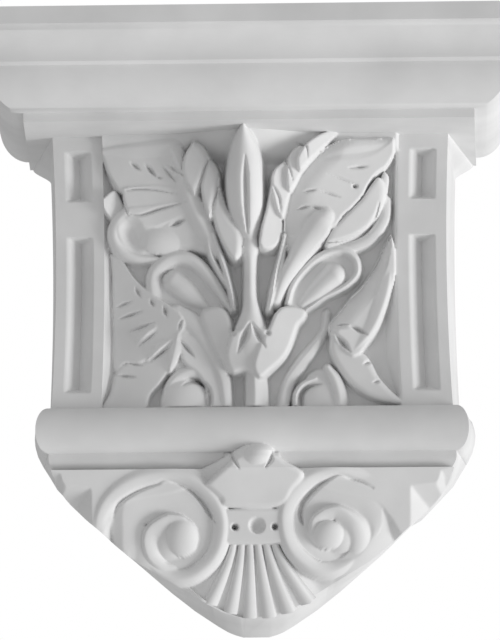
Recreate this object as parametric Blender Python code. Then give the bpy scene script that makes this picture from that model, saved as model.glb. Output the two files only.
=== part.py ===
# A plaster wall corbel cast in one piece: a cornice mitred round three sides, a body with two pilasters and a panel of
# carved leaves, a half round roll, and a pendant with two volutes over a shell.
# Metres, +Z up. The wall is the plane Y = 0 and the corbel stands out towards -Y. The origin is the middle of its wall
# face, which is also where it is fixed.

import bpy
import bmesh
import numpy as np

MM = 0.001

# Cornice: height of each member from the top down, and how far it stands out past the one below
FASCIA_HEIGHT = 8.3 * MM
CAVETTO_HEIGHT = 14.7 * MM
CAVETTO_OUT = 14.5 * MM
ARRIS_HEIGHT = 1.2 * MM
ARRIS_OUT = 3.0 * MM
OVOLO_HEIGHT = 19.4 * MM
OVOLO_OUT = 16.0 * MM
LOWER_FASCIA_HEIGHT = 4.2 * MM
QUIRK = 0.7 * MM

# Body between the cornice and the roll
BODY_HEIGHT = 133.7 * MM
BODY_WIDTH = 193.8 * MM
BODY_DEPTH = 80.0 * MM
BODY_HOLLOW = 4.5 * MM
BODY_WAIST = 1.6 * MM
SOFFIT_FRONT = 37.0 * MM
SOFFIT_SIDE = 10.6 * MM
SIDE_FLARE = 8.3 * MM

# Pilasters and the sinkings in them
PILASTER_WIDTH = 24.0 * MM
SINKING_WIDTH = 12.6 * MM
SINKING_DEPTH = 7.5 * MM
SINKING_SHORT = 24.5 * MM
SINKING_LONG = 77.0 * MM
SINKING_TOP = 7.0 * MM
SINKING_GAP = 17.5 * MM
SINKING_END_SLOPE = 2.5  # of the hipped ends, as a share of the slope of the sides
CARVING_SHIFT = 0.9 * MM

# Roll under the body, and the neck below it
ROLL_HEIGHT = 22.0 * MM
ROLL_OUT = 9.0 * MM
ROLL_SIDE_OUT = 7.0 * MM
ROLL_STEP = 1.6 * MM
NECK_HEIGHT = 8.0 * MM
NECK_COVE = 3.0 * MM

# Pendant
PENDANT_HEIGHT = 70.2 * MM
PENDANT_DROP = 8.3 * MM
PENDANT_DEPTH = 81.0 * MM
PENDANT_TIP_DEPTH = 45.0 * MM
WALL_SPREAD = 6.9 * MM

# Spacing of the surface grid, and how many of its triangles the finished solid keeps
GRID = 1.45 * MM
TRIANGLES = 9400

# The carving is drawn on a panel 150 units wide and 135.4 high, and on a pendant 206 wide and 74.5 high, with u to the
# right of the axis and v down. A unit is about a millimetre. Heights stand for millimetres out of the face.
PANEL_UNITS = (150.0, 135.4)
PENDANT_UNITS = (206.0, 74.5)

# Half widths of the pendant's front, as shares of its height and of half the body's width
PENDANT_FRONT = ((0.0, 1.0), (0.07, 0.985), (0.13, 0.965), (0.19, 0.935), (0.23, 0.91), (0.27, 0.88), (0.33, 0.835),
                 (0.41, 0.765), (0.51, 0.687), (0.62, 0.586), (0.71, 0.475), (0.82, 0.333), (0.91, 0.232),
                 (0.96, 0.162), (1.0, 0.071))
# Half widths of the outline on the wall from the top of the roll to the tip, as shares of that height and of the
# widest of them
WALL_OUTLINE = ((0.0, 0.986), (0.037, 0.996), (0.065, 1.0), (0.10, 0.996), (0.15, 0.984), (0.195, 0.961),
                (0.25, 0.927), (0.305, 0.895), (0.36, 0.844), (0.415, 0.793), (0.46, 0.749), (0.49, 0.70),
                (0.535, 0.654),
                (0.62, 0.572), (0.71, 0.47), (0.795, 0.377), (0.88, 0.275), (0.95, 0.168), (1.0, 0.071))

CORNICE_HEIGHT = FASCIA_HEIGHT + CAVETTO_HEIGHT + ARRIS_HEIGHT + OVOLO_HEIGHT + LOWER_FASCIA_HEIGHT
TOTAL_HEIGHT = CORNICE_HEIGHT + BODY_HEIGHT + ROLL_HEIGHT + NECK_HEIGHT + PENDANT_HEIGHT + PENDANT_DROP
TOP_Z = TOTAL_HEIGHT / 2
SOFFIT_Z = TOP_Z - CORNICE_HEIGHT
ROLL_TOP_Z = SOFFIT_Z - BODY_HEIGHT
NECK_TOP_Z = ROLL_TOP_Z - ROLL_HEIGHT
PENDANT_TOP_Z = NECK_TOP_Z - NECK_HEIGHT
TIP_Z = PENDANT_TOP_Z - PENDANT_HEIGHT - PENDANT_DROP
PANEL_HALF = BODY_WIDTH / 2 - PILASTER_WIDTH


# The carving on those two sheets: plates with an outline, crested bands, and the grooves and hollows taken out of them
UPPER_LEFT = {
    "slabs": [
        dict(outline=[(-75, 32), (-68, 27), (-64.5, 36.5), (-69, 43), (-73, 38)], high=-0.5, lean=(-0.25, -0.05),
             soft=(0.8, 1.5)),
        dict(outline=[(-43, 43), (-33, 39), (-25, 38), (-18, 52), (-17, 60), (-30, 57), (-44, 58.5), (-56, 59),
                      (-64, 56), (-68, 50), (-68.5, 44), (-62, 39), (-56, 43)], high=4.0, lean=(0.02, -0.12),
             soft=(1.5, 3.5)),
        dict(outline=[(-62, 36), (-50, 35), (-36, 33), (-27, 33), (-25, 40), (-33.5, 41), (-42, 44), (-48, 46),
                      (-56, 45), (-62, 42)], high=4.2, lean=(0.05, 0.12), soft=(0.5, 1.0)),
        dict(outline=[(-64, 26), (-50, 25), (-33, 27), (-30, 33), (-36, 34.7), (-45, 37), (-51, 39), (-57, 40.5),
                      (-61.5, 39), (-63.5, 33)], high=4.0, lean=(0.06, 0.17), soft=(0.4, 0.8)),
        dict(outline=[(-74.5, 9), (-70, 5.5), (-60, 4.5), (-50, 2), (-38, 0.5), (-33, 12), (-30, 22), (-26, 32),
                      (-35, 30), (-45, 28.3), (-56, 26.8), (-63, 28), (-67.5, 26.3), (-71.5, 18.5)],
             high=4.4, lean=(0.06, 0.05), soft=(1.2, 1.6)),
    ],
    "blades": [
        dict(knots=[(-73, 7, 2.5, 4, 3.0), (-62, 6.3, 3.5, 5, 4.2), (-50, 6.0, 4.5, 5, 5.2), (-38, 5.5, 5, 5, 6.5)],
             falls=(2.2, 0.8)),
        dict(knots=[(-38, 8, 5, 3, 7), (-34.5, 18, 5, 4, 8), (-31.5, 28, 5, 5.5, 8.5), (-26.5, 40, 5, 6, 8.5),
                    (-20.5, 51, 4, 5, 8), (-17, 60, 3, 3, 6)], falls=(2.0, 4.0), power=1.6),
        dict(knots=[(-61, 38, 1.6, 2.6, 5), (-67.5, 43, 1.6, 2.6, 4.5), (-69, 49, 1.6, 2.6, 4), (-66, 55, 1.8, 2.6, 4),
                    (-58, 59.5, 1.8, 2, 4), (-47, 61, 1.5, 1.5, 4)], falls=(1.5, 2.5)),
    ],
    "hollow": dict(at=(-58.5, 47.5), size=(5.0, 8.0), deep=4.5, turn=-20),
}
UPPER_RIGHT = {
    "slabs": [
        dict(outline=[(43, 47), (50, 39.5), (57, 33), (62, 26), (66, 22), (69, 27), (68, 35), (64, 43), (56, 50.5),
                      (47, 54), (39, 56)], high=2.2, lean=(-0.05, -0.10), soft=(2.0, 5.0)),
        dict(outline=[(68.5, 18), (71, 21), (70.5, 28), (69, 34), (66, 28)], high=0.0, lean=(0, 0), soft=(1.5, 2.5)),
        dict(outline=[(18, 52), (18.3, 41.5), (20, 32.5), (22.5, 25), (27.5, 18.5), (35, 11.5), (42.5, 6), (50, 3.8),
                      (62.5, 3.5), (72, 3), (73.6, 5.5), (73.3, 11), (70, 16.5), (65, 20.5), (61.3, 25), (58, 31),
                      (53.5, 36), (48, 41), (44, 46), (38, 52), (30, 60), (22, 62)],
             high=9.0, lean=(-0.17, -0.07), soft=(0.8, 1.5), flank=(-0.95, -0.3, 7.0, 11.0)),
    ],
    "blades": [
        dict(knots=[(69.5, 33, 2, 2, 0), (67.5, 43, 2.8, 2.3, 1.5), (59, 52, 3, 2.3, 2.2), (48, 56.5, 2.5, 2, 2.5),
                    (38, 59, 2, 1.5, 2)], falls=(1.2, 1.8)),
        dict(knots=[(38.5, 42, 4.5, 4.5, 12.0), (35, 46, 6.5, 5.5, 12.5), (29, 54, 6, 5, 11.5),
                    (23, 63, 4.5, 3.5, 9.5),
                    (17, 73, 3, 2.5, 7), (13, 84, 1.8, 1.3, 5)], falls=(2.2, 2.5), power=2.0),
    ],
    "valley": [(37, 14, 1), (47, 11.5, 3), (57, 10.5, 3), (65, 8.5, 2), (70, 5.5, 0.5)],
}
HUSKS = {
    "slabs": [
        dict(outline=[(42, -1), (45, 1), (38, 8), (31, 15), (26, 20), (25, 14), (29, 7), (36, 1.5)],
             high=13.0, lean=(-0.15, 0), soft=(1.0, 2.0)),
        dict(outline=[(26.5, 7), (29.5, 9), (29, 15), (26, 22), (21, 30), (19.5, 24), (20.5, 14), (23.5, 9)],
             high=13.8, lean=(-0.12, 0), soft=(1.0, 2.0)),
        dict(outline=[(18.5, 14.5), (21.5, 19), (22, 26), (20, 34), (17.5, 43), (14, 38), (12, 28), (13, 20)],
             high=13.8, lean=(-0.12, 0), soft=(1.0, 2.0)),
        dict(outline=[(11.5, 26), (15, 32), (16, 40), (17, 46), (15.5, 54), (11, 58), (6, 57), (6.5, 48), (9.5, 37)],
             high=13.0, lean=(-0.12, -0.03), soft=(1.0, 2.0)),
        dict(outline=[(-27, 4.5), (-23, 7), (-19.5, 13), (-21, 19), (-25, 28), (-28, 31), (-33, 20), (-32, 11)],
             high=12.5, lean=(0.12, 0), soft=(0.8, 1.5), flank=(0.95, -0.2, 2.2, 2.5)),
        dict(outline=[(-19, 13.5), (-16, 18), (-14.8, 24), (-16, 32), (-18, 41), (-20.5, 42), (-24, 28), (-22.5, 19)],
             high=13.2, lean=(0.12, 0), soft=(0.8, 1.5), flank=(0.95, -0.2, 2.2, 2.5)),
        dict(outline=[(-14.5, 27), (-12, 36), (-7.5, 44), (-3, 50), (-3.5, 60), (-8, 63), (-14, 54), (-18, 42),
                      (-17, 33)], high=12.2, lean=(0.08, 0), soft=(0.8, 1.5), flank=(0.95, -0.3, 2.5, 2.5)),
    ],
    "stems": [
        dict(knots=[(-21, 52, 1.0, 1.0, 9), (-19.5, 60, 1.1, 1.1, 8), (-15.5, 68, 1.1, 1.1, 7),
                    (-11, 75, 1.0, 1.0, 6.5)], falls=(1.2, 1.2)),
        dict(knots=[(-18.5, 50, 1.2, 1.3, 9.5), (-14.5, 61, 1.3, 1.3, 9), (-11.5, 70, 1.2, 1.3, 8.5),
                    (-9, 80, 1.1, 1.2, 8), (-7.8, 87, 0.8, 0.8, 7)], falls=(1.2, 2.2)),
        dict(knots=[(18.3, 52, 0.6, 0.8, 10), (16.5, 62, 1.1, 1.2, 9.5), (13.5, 74, 1.3, 1.5, 8.5),
                    (10, 88, 1.0, 1.5, 7)], falls=(1.5, 2.2)),
    ],
}
BUD = {
    "lobe": dict(knots=[(-2, -1.5, 0.4, 0.5, 29), (-1.8, 5.0, 4.6, 5, 27), (-1.6, 14, 7.2, 7.6, 25),
                        (-1.4, 25, 8.0, 9.2, 22), (-1, 37, 7.8, 8.6, 18), (-0.3, 47, 5.6, 6, 14.5),
                        (0.8, 54, 3.2, 3.6, 11.5)], falls=(5.5, 5.5), power=2.2),
    "groove": [(-1.2, 14, 0.3), (-1.2, 24, 1.9), (-1.0, 38, 1.9), (-0.5, 50, 0.8)],
    "stem": dict(knots=[(0.8, 52, 3.0, 3.2, 11.5), (0.4, 58, 4.0, 4.8, 11.5), (0.6, 64, 2.9, 3.2, 11),
                        (0.6, 80, 2.9, 3.4, 10), (1, 88, 4.0, 4.5, 10.5), (1, 97, 7, 8, 10.5), (1, 106, 9, 10, 10)],
                 falls=(2.8, 2.8), power=2.2),
}
RINGS = {
    "dishes": [
        dict(outline=[(-49, 77), (-50, 69), (-45, 62), (-36, 60), (-27, 62), (-18, 71), (-11, 83), (-14, 89),
                      (-26, 90), (-38, 88), (-45, 84)], high=0.5, lean=(0.03, -0.02), soft=(1.5, 3.0)),
        dict(outline=[(19, 84), (22, 75), (28, 67), (37, 60), (47, 58), (54, 62), (55.5, 69), (52, 74), (42, 80),
                      (33, 86), (26, 89)], high=-0.5, lean=(-0.04, -0.02), soft=(0.5, 1.0)),
    ],
    "eggs": [dict(knots=[(-35.5, 72.5, 5.0, 5.5, 4.2), (-31, 77, 5.0, 5.5, 3.8), (-25, 82, 3.5, 4, 2.2),
                         (-21, 86, 2, 2, 0.8)], falls=(3.8, 3.5), power=2.2),
             dict(knots=[(43, 70.0, 5.2, 5.2, 5.0), (38, 74, 5.0, 5.0, 3.6), (32, 79, 4.5, 4.5, 2.4),
                         (28, 83, 3.5, 3.5, 1.5)], falls=(4, 4), power=2.4)],
    "rims": [
        dict(knots=[(-44, 85, 1.5, 2, 1.0), (-49.5, 77, 3, 3.5, 3), (-49, 68, 3, 3.5, 4.5), (-43, 62, 3, 3.5, 5.2),
                    (-36, 60, 3, 3.5, 5.5), (-28, 62.5, 3, 3.5, 5.5), (-20.5, 70, 2.8, 3, 5), (-14, 80, 2.5, 2, 4),
                    (-9.5, 88, 1.5, 1, 3)], falls=(2.5, 2.0), power=1.8),
        dict(knots=[(19.5, 84, 1.5, 1.0, 5), (22.5, 75, 1.8, 1.2, 5), (29, 67, 2.0, 1.3, 5),
                    (37.5, 60.5, 2.4, 1.3, 4.5),
                    (47, 58, 2.8, 1.3, 4.2), (53.5, 61.5, 2.2, 1.3, 3.8), (55.3, 67.5, 1.6, 1.3, 3.5),
                    (53, 72, 1.5, 1.3, 3), (47, 76.5, 1.5, 1.2, 2.5), (38, 81, 1.0, 1.0, 2), (29, 87, 0.8, 0.8, 1.5)],
             falls=(1.8, 1.4), power=1.6),
    ],
}
CALYX = {
    "slabs": [
        dict(outline=[(-24, 87), (-17, 85.5), (-12, 88), (-9.3, 94), (-9, 101), (-5, 108), (-4, 116), (-10, 118.5),
                      (-14, 113), (-18.5, 106), (-22.5, 98), (-25, 91)], high=7.0, lean=(0.16, 0.05), soft=(1.2, 2.2)),
        dict(outline=[(13, 90), (17, 86.5), (24, 86.5), (28.5, 88.5), (27.5, 92), (24.5, 95), (22.5, 100), (20, 106.5),
                      (16.5, 112), (10, 118), (5, 121.5), (2, 116), (5, 106), (9.5, 98)],
             high=9.0, lean=(-0.10, -0.04), soft=(1.5, 3.0)),
        dict(outline=[(-9, 99), (-4, 97), (1, 93), (6, 97), (10, 99), (14, 109), (6, 121), (-2, 118), (-9, 118.5),
                      (-12, 110)], high=9.6, lean=(-0.02, -0.08), soft=(1.0, 2.0)),
    ],
    "notches": [[(1, 94.5, 0.6), (-2, 101.5, 1.7), (-5.5, 109.5, 0.3)], [(1, 94.5, 0.6), (4.5, 101, 1.7),
                                                                        (8.3, 107.5, 0.3)]],
    "stalk": dict(knots=[(1.5, 113, 4.5, 3.5, 7.5), (2.5, 124, 6.0, 4.5, 5.5), (2.5, 138, 6.5, 4.8, 4.0)],
                  falls=(4.0, 3.0), power=1.2),
}
LOWER_LEFT = {
    "slabs": [
        dict(outline=[(-36, 102), (-31, 99), (-24, 104), (-18, 112), (-13.5, 124), (-11.5, 138), (-20, 138),
                      (-22, 126), (-27, 118), (-34, 112)], high=3.0, lean=(-0.05, -0.02), soft=(0.8, 1.5)),
        dict(outline=[(-39, 104), (-36.5, 108), (-40, 116), (-45, 123), (-50, 129), (-54, 138), (-74, 138),
                      (-69, 127), (-68, 118), (-63, 113), (-52, 112), (-45, 108)], high=0.8, lean=(0.05, 0.02),
             soft=(1.5, 4.0)),
        dict(outline=[(-73, 57), (-66, 60), (-57.5, 71.5), (-47.5, 80), (-36, 88), (-33, 95), (-37, 101), (-41, 105),
                      (-51, 110.5), (-57, 113), (-63, 112.5), (-68.5, 116), (-69, 97), (-71, 82)],
             high=1.0, lean=(0.17, 0.03), soft=(2.0, 4.0)),
    ],
    "blades": [
        dict(knots=[(-37, 100, 2, 2, 4.5), (-38.3, 108, 3, 3.5, 4), (-40, 116, 2, 1.5, 2)], falls=(1.0, 2.5)),
        dict(knots=[(-37, 88, 4, 4, 3.5), (-30, 94, 6, 4, 4), (-24, 102, 6, 3, 4.5), (-18.5, 111, 5, 2.2, 4.5),
                    (-14, 122, 4, 2, 4), (-12, 137, 3, 2, 3)], falls=(1.5, 1.8), power=2.0),
    ],
}
LOWER_RIGHT = {
    "slabs": [
        dict(outline=[(41, 100), (45, 99), (52, 106), (58, 110), (61, 114), (64.5, 121), (71, 128.5), (77, 134),
                      (69, 133.5), (60, 131), (51, 125), (44, 116), (40.5, 108)], high=1.8, lean=(0.0, -0.06),
             soft=(1.5, 3.0)),
        dict(outline=[(72.5, 50), (74.5, 58), (74.3, 70), (71.8, 79), (68.5, 86.5), (65.5, 93.5), (61, 102.5),
                      (52, 111), (42, 101), (41, 95), (46, 88), (52, 81), (58, 75), (65, 65), (69, 56)],
             high=3.4, lean=(0.08, -0.02), soft=(0.6, 1.2), flank=(-0.8, -0.6, 4.0, 9.0)),
    ],
    "blades": [
        dict(knots=[(72.5, 52, 1.0, 1.5, -1), (72.3, 64, 1.5, 4, 2), (70.5, 77, 1.6, 5, 4), (66, 90, 1.8, 5, 4.5),
                    (61, 99, 2, 4, 4.5), (53, 108, 1.5, 3, 4)], falls=(2.5, 0.8)),
        dict(knots=[(39, 88, 2, 1.5, -2), (37.5, 97, 2, 1.5, -1), (32, 105, 3, 2, 0.5), (25, 113, 4, 2, 1),
                    (18, 123, 4, 1.5, 1), (14.5, 137, 4, 1.5, 1)], falls=(1.5, 2.0)),
    ],
}
SCROLLS = {
    "discs": [dict(at=(-33, 133), size=(12, 16), top=0.8, rim=-4), dict(at=(36, 133), size=(12, 17), top=0.8, rim=-4)],
    "bands": [
        dict(knots=[(-50, 139, 1.5, 1.5, 0), (-45, 126, 2, 2.5, 1.5), (-38, 119, 2.2, 3, 2.2),
                    (-30, 116.5, 2.2, 3, 2.5), (-22, 118, 2.2, 2.5, 2)], falls=(1.5, 1.2)),
        dict(knots=[(23, 139, 1.2, 0.8, 2.5), (22.8, 130, 1.2, 0.8, 2.5), (26.5, 124.5, 1.2, 0.8, 2.5),
                    (33, 121.5, 1.0, 0.8, 1.5)], falls=(1.0, 0.8)),
        dict(knots=[(40, 116, 1.5, 1.5, 2.5), (44.5, 122, 1.8, 2.5, 2.5), (47, 130, 1.8, 2.5, 2),
                    (47.5, 139, 1.5, 2, 1)],
             falls=(2.0, 1.0)),
    ],
    "crescents": [[(-34, 126, 0.3), (-29, 123.5, 1.4), (-23.5, 128, 2.2), (-21.5, 136, 1.8)],
                  [(25.5, 136, 1.2), (26, 129, 1.8), (29.5, 125.5, 1.6), (36, 124, 0.4)]],
}
VOLUTES = {
    # each turn of a spiral band: degrees, radius, width outwards and inwards, height; the right volute is mirrored
    "apron": [(95, 17, 12, 3, 0.6), (120, 18, 16, 4, 1.6), (145, 18.5, 19, 5, 2.2), (170, 18.5, 18, 5, 2.5),
              (190, 19, 12, 5, 2.5)],
    "channel": [(176, 23.5, 7.5, 8, 2.4), (195, 24.5, 8, 8, 2.5), (215, 25, 8, 9, 2.5), (245, 22.5, 7.5, 9, 2.4),
                (270, 20, 7.5, 8, 2.2), (300, 17.5, 7, 6, 1.8), (330, 16, 6, 5, 1.4), (360, 14.5, 5, 5, 1.2),
                (400, 13.5, 5, 5, 1), (450, 13.5, 4, 5, 0.6), (490, 15, 3, 5, 0)],
    "rim": [(168, 38, 3, 6, 0.6), (184, 39.5, 3, 7.5, 2.6), (201, 40, 3, 7.5, 3.8), (218, 38.5, 4, 7, 4.2),
            (238, 35.6, 5, 6, 4.6), (261, 33, 5, 4.5, 5), (279, 31.4, 4.5, 4, 5.2), (295, 30, 4, 4.6, 5.4),
            (313, 28.2, 4, 5, 5.5), (331, 26.4, 3.8, 5, 5.5), (350, 24, 3.6, 5, 5.4), (373, 22, 3.4, 5, 5.2),
            (397, 20.7, 3.4, 5, 4.8), (428, 20.4, 3.2, 5, 4.2), (457, 19.7, 3, 5, 3.2), (493, 18.4, 3, 4, 2.0),
            (520, 17, 3, 3, 1)],
    "soft": [(150, 29, 2), (170, 30.5, 4), (190, 31.5, 5), (206, 32.6, 3.5), (218, 32.5, 1.5)],
    "left": {"middle": (-37.5, 35.0), "side": 1, "size": 1.0, "eye": (3.3, -0.3), "eye_size": (8.0, 9.2),
             "coil": [(95, 14.5, 4, 2.5, 1.6), (118, 15.2, 4, 4, 2.8), (145, 15.6, 3.0, 6, 4.0),
                      (171, 15.4, 2.2, 6.6, 4.8),
                      (193, 15.0, 1.9, 7.6, 5.3), (212, 14.0, 1.8, 8.2, 5.6), (233, 12.4, 1.7, 7.4, 5.9),
                      (256, 11.8, 1.6, 7.2, 6.0), (289, 10.8, 1.5, 6, 6.0), (323, 9.9, 1.4, 5, 5.6),
                      (351, 9.7, 1.4, 4, 5.2), (375, 9.8, 1.4, 4, 4.8), (395, 9.7, 1.3, 4, 4.4),
                      (425, 8.5, 1.3, 3, 4.0)]},
    "right": {"middle": (38.5, 32.5), "side": -1, "size": 0.96, "eye": (-0.6, 0.6), "eye_size": (8.2, 7.4),
              "coil": [(140, 19.5, 4, 4, 1.6), (157, 18.8, 4, 5, 3.6), (172, 18.0, 3.8, 6, 5.0),
                       (193, 15.6, 3.4, 6, 5.8),
                       (215, 14.4, 2.8, 6.4, 6.0), (238, 13.8, 2.2, 6.4, 6.1), (256, 13.6, 1.8, 6.2, 6.1),
                       (279, 12.2, 1.7, 5.6, 6.0), (302, 11.2, 1.7, 5, 5.8), (321, 10.8, 1.7, 4.4, 5.5),
                       (346, 9.4, 1.6, 4, 5.2), (370, 8.8, 1.5, 4, 4.8), (397, 8.0, 1.4, 4, 4.4)]},
}
HOOD = {
    "slabs": [
        dict(outline=[(-31, 2.5), (-17.5, -3), (-5, -10), (0, -11), (-3, -5), (-13, 2), (-21.5, 8.5)],
             high=5.0, lean=(0.28, -0.05), soft=(0.8, 1.5)),
        dict(outline=[(-22.5, 8), (-14, 0.5), (-6, -6.5), (1, -10), (9.5, -9), (17, -3), (26, 3), (21, 11), (14, 19),
                      (-12, 19), (-15, 15)], high=7.4, lean=(0.0, -0.10), soft=(1.5, 2.5)),
    ],
    "knob": dict(at=(3.5, -6.5), size=(8.5, 6.5), top=11.0, rim=3),
}
STRAP = {
    "slab": dict(outline=[(-12.5, 20.5), (-11.5, 20.2), (13, 20.2), (14, 20.5), (15, 36), (14.5, 37), (-12, 37),
                          (-12.5, 36)], high=4.0, lean=(0, -0.04), soft=(0.6, 1.2)),
    "holes": [((3.5, 28), 4.2), ((-8, 29), 1.8), ((11.3, 28.8), 1.8)],
}
SHELL = {"grooves": [(-10.8, -25, 65), (-7.2, -16.2, 72), (-2.8, -6.8, 75), (2.3, 5.6, 75), (6.4, 14.6, 72.5),
                     (9.4, 22.0, 68.5), (12.4, 31, 61.5)],
         "spread": 0.62, "crown": 2.6, "foot": 36.8, "wide": 1.9, "deep": 1.8}
EARS = {
    "top": 2.6,
    # three leaves, each laid over the one outside it, that fall away downwards
    "leaves": [
        dict(outline=[(-103, -4), (-75, -4), (-45, -4), (-26, 1), (-24, 6), (-40, 12), (-60, 16), (-68, 24), (-74, 33),
                      (-78.5, 30), (-79, 20), (-79, 9), (-82, 7.8), (-88.3, 6.8), (-89, 4.3), (-95, 1.2), (-99, -1)],
             high=2.6, soft=(0.2, 0.6), edge=1.2),
        dict(outline=[(-72, 4), (-89, 4.3), (-92, 9.5), (-95.5, 15.5), (-98, 20), (-84, 34), (-72, 30)],
             high=-5.5, lean=(0.1, -0.95), soft=(0.2, 0.6), edge=1.2),
        dict(outline=[(-84, -3), (-108, -3), (-109, 8), (-104, 18), (-90, 30), (-84, 26)],
             high=-7.0, lean=(0.25, -0.8), soft=(0.2, 0.6), edge=1.2),
    ],
}


def spline(knots, steps=6):
    """A smooth line through the knots, each a row of numbers."""
    rows = np.asarray(knots, float)
    if len(rows) == 2:
        share = np.linspace(0, 1, steps + 1)[:, None]
        return rows[0] + (rows[1] - rows[0]) * share
    rows = np.vstack([2 * rows[0] - rows[1], rows, 2 * rows[-1] - rows[-2]])
    line = []
    share = np.linspace(0, 1, steps, endpoint=False)[:, None]
    for a, b, c, d in zip(rows[:-3], rows[1:-2], rows[2:-1], rows[3:]):
        line.append(0.5 * (2 * b + (c - a) * share + (2 * a - 5 * b + 4 * c - d) * share**2
                           + (3 * b - a - 3 * c + d) * share**3))
    return np.vstack(line + [rows[-2:-1]])


def headed(line):
    """Adds the way that a line runs at each of its points."""
    return np.hstack([line, np.gradient(line[:, :2], axis=0)])


def nearest(u, v, line):
    """Distance to the line, the way from it, and its further columns at the nearest point."""
    far = np.full(u.shape, 1e9)
    away = np.zeros((2,) + u.shape)
    values = np.zeros((line.shape[1] - 2,) + u.shape)
    for a, b in zip(line[:-1], line[1:]):
        du, dv = b[:2] - a[:2]
        share = np.clip(((u - a[0]) * du + (v - a[1]) * dv) / (du * du + dv * dv + 1e-12), 0, 1)
        off = np.array([u - a[0] - share * du, v - a[1] - share * dv])
        gap = np.hypot(*off)
        closer = gap < far
        far[closer] = gap[closer]
        away[:, closer] = off[:, closer]
        for i in range(len(values)):
            values[i][closer] = (a[2 + i] + (b[2 + i] - a[2 + i]) * share)[closer]
    return far, away, values


class Relief:
    """Heights over a sheet of points, worked like clay: forms are laid on, cuts and hollows taken out."""

    def __init__(self, u, v, ground):
        self.u, self.v, self.height = u, v, ground

    def blade(self, knots, falls=(2, 2), power=1.5, edge=4.0):
        """A crested band; knots are (u, v, width to the left, width to the right, height of the crest). falls are how
        far its two sides drop."""
        gap, away, (left, right, crest, du, dv) = nearest(self.u, self.v, headed(spline(knots)))
        on_right = du * away[1] - dv * away[0] > 0
        wide = np.maximum(np.where(on_right, right, left), 0.05)
        fall = np.where(on_right, falls[1], falls[0])
        height = crest - fall * np.clip(gap / wide, 0, 1)**power - edge * np.clip(gap - wide, 0, None)
        self.height = np.maximum(self.height, height)

    def slab(self, outline, high, lean=(0, 0), soft=(1, 2), flank=None, edge=5.0):
        """A leaning plate with an eased rim; the rim that faces the flank's way falls further."""
        line = spline(list(outline) + [outline[0]], 4)
        gap, away, _ = nearest(self.u, self.v, line)
        inside = np.zeros(self.u.shape, bool)
        for (u0, v0), (u1, v1) in zip(line[:-1], line[1:]):
            if v0 != v1:
                crosses = self.u < u0 + (u1 - u0) * (self.v - v0) / (v1 - v0)
                inside ^= ((v0 > self.v) != (v1 > self.v)) & crosses
        middle = np.mean(outline, 0)
        height = high + lean[0] * (self.u - middle[0]) + lean[1] * (self.v - middle[1])
        fall, wide = soft
        if flank:
            facing = np.clip(-(away[0] * flank[0] + away[1] * flank[1]) / np.maximum(gap, 1e-6), 0, 1)
            fall, wide = fall + flank[2] * facing, wide + flank[3] * facing
        eased = height - fall * np.clip(1 - gap / wide, 0, 1)**2
        self.height = np.maximum(self.height, np.where(inside, eased, height - fall - edge * gap))

    def cut(self, knots, deep=1.5):
        """A V groove; knots are (u, v, half width). deep is its depth as a share of its half width."""
        gap, _, (wide,) = nearest(self.u, self.v, spline(knots))
        wide = np.maximum(wide, 0.05)
        self.height = self.height - deep * wide * np.clip(1 - gap / wide, 0, 1)

    def from_centre(self, at, size, turn):
        angle = np.radians(turn)
        du, dv = self.u - at[0], self.v - at[1]
        return np.hypot((du * np.cos(angle) + dv * np.sin(angle)) / size[0],
                        (dv * np.cos(angle) - du * np.sin(angle)) / size[1])

    def dome(self, at, size, top, rim, turn=0.0, power=0.5):
        out = self.from_centre(at, size, turn)
        height = rim + (top - rim) * np.clip(1 - out**2, 0, None)**power
        self.height = np.where(out < 1, np.maximum(self.height, height), self.height)

    def hollow(self, at, size, deep, turn=0.0, power=1.0):
        out = self.from_centre(at, size, turn)
        self.height = self.height - deep * np.clip(1 - out**2, 0, 1)**power


def panel_ground(u, v):
    """The sunken ground: coved forward to the soffit, fullest on the axis, with sloping reveals at both sides."""
    cove = 1 - np.clip(v / 12.0, 0, 1)**2.5
    ground = -8.5 + cove * (13.5 + 15.5 * np.exp(-(u / 30.0)**2) * np.clip(1 - v / 15.0, 0, 1)**1.2)
    ground += 4.0 * np.exp(-(u / 32.0)**2) * np.clip(1 - v / 110.0, 0, 1)
    half, high = PANEL_UNITS[0] / 2, PANEL_UNITS[1]
    reveal = 1.5 + 5.0 * np.sin(np.pi * np.clip((v - 38) / (high - 38), 0, 1))**0.7
    share = np.clip((np.abs(u) - half + reveal) / reveal, 0, 1)
    return ground * (1 - share) + np.maximum(ground, 0) * share


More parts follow.
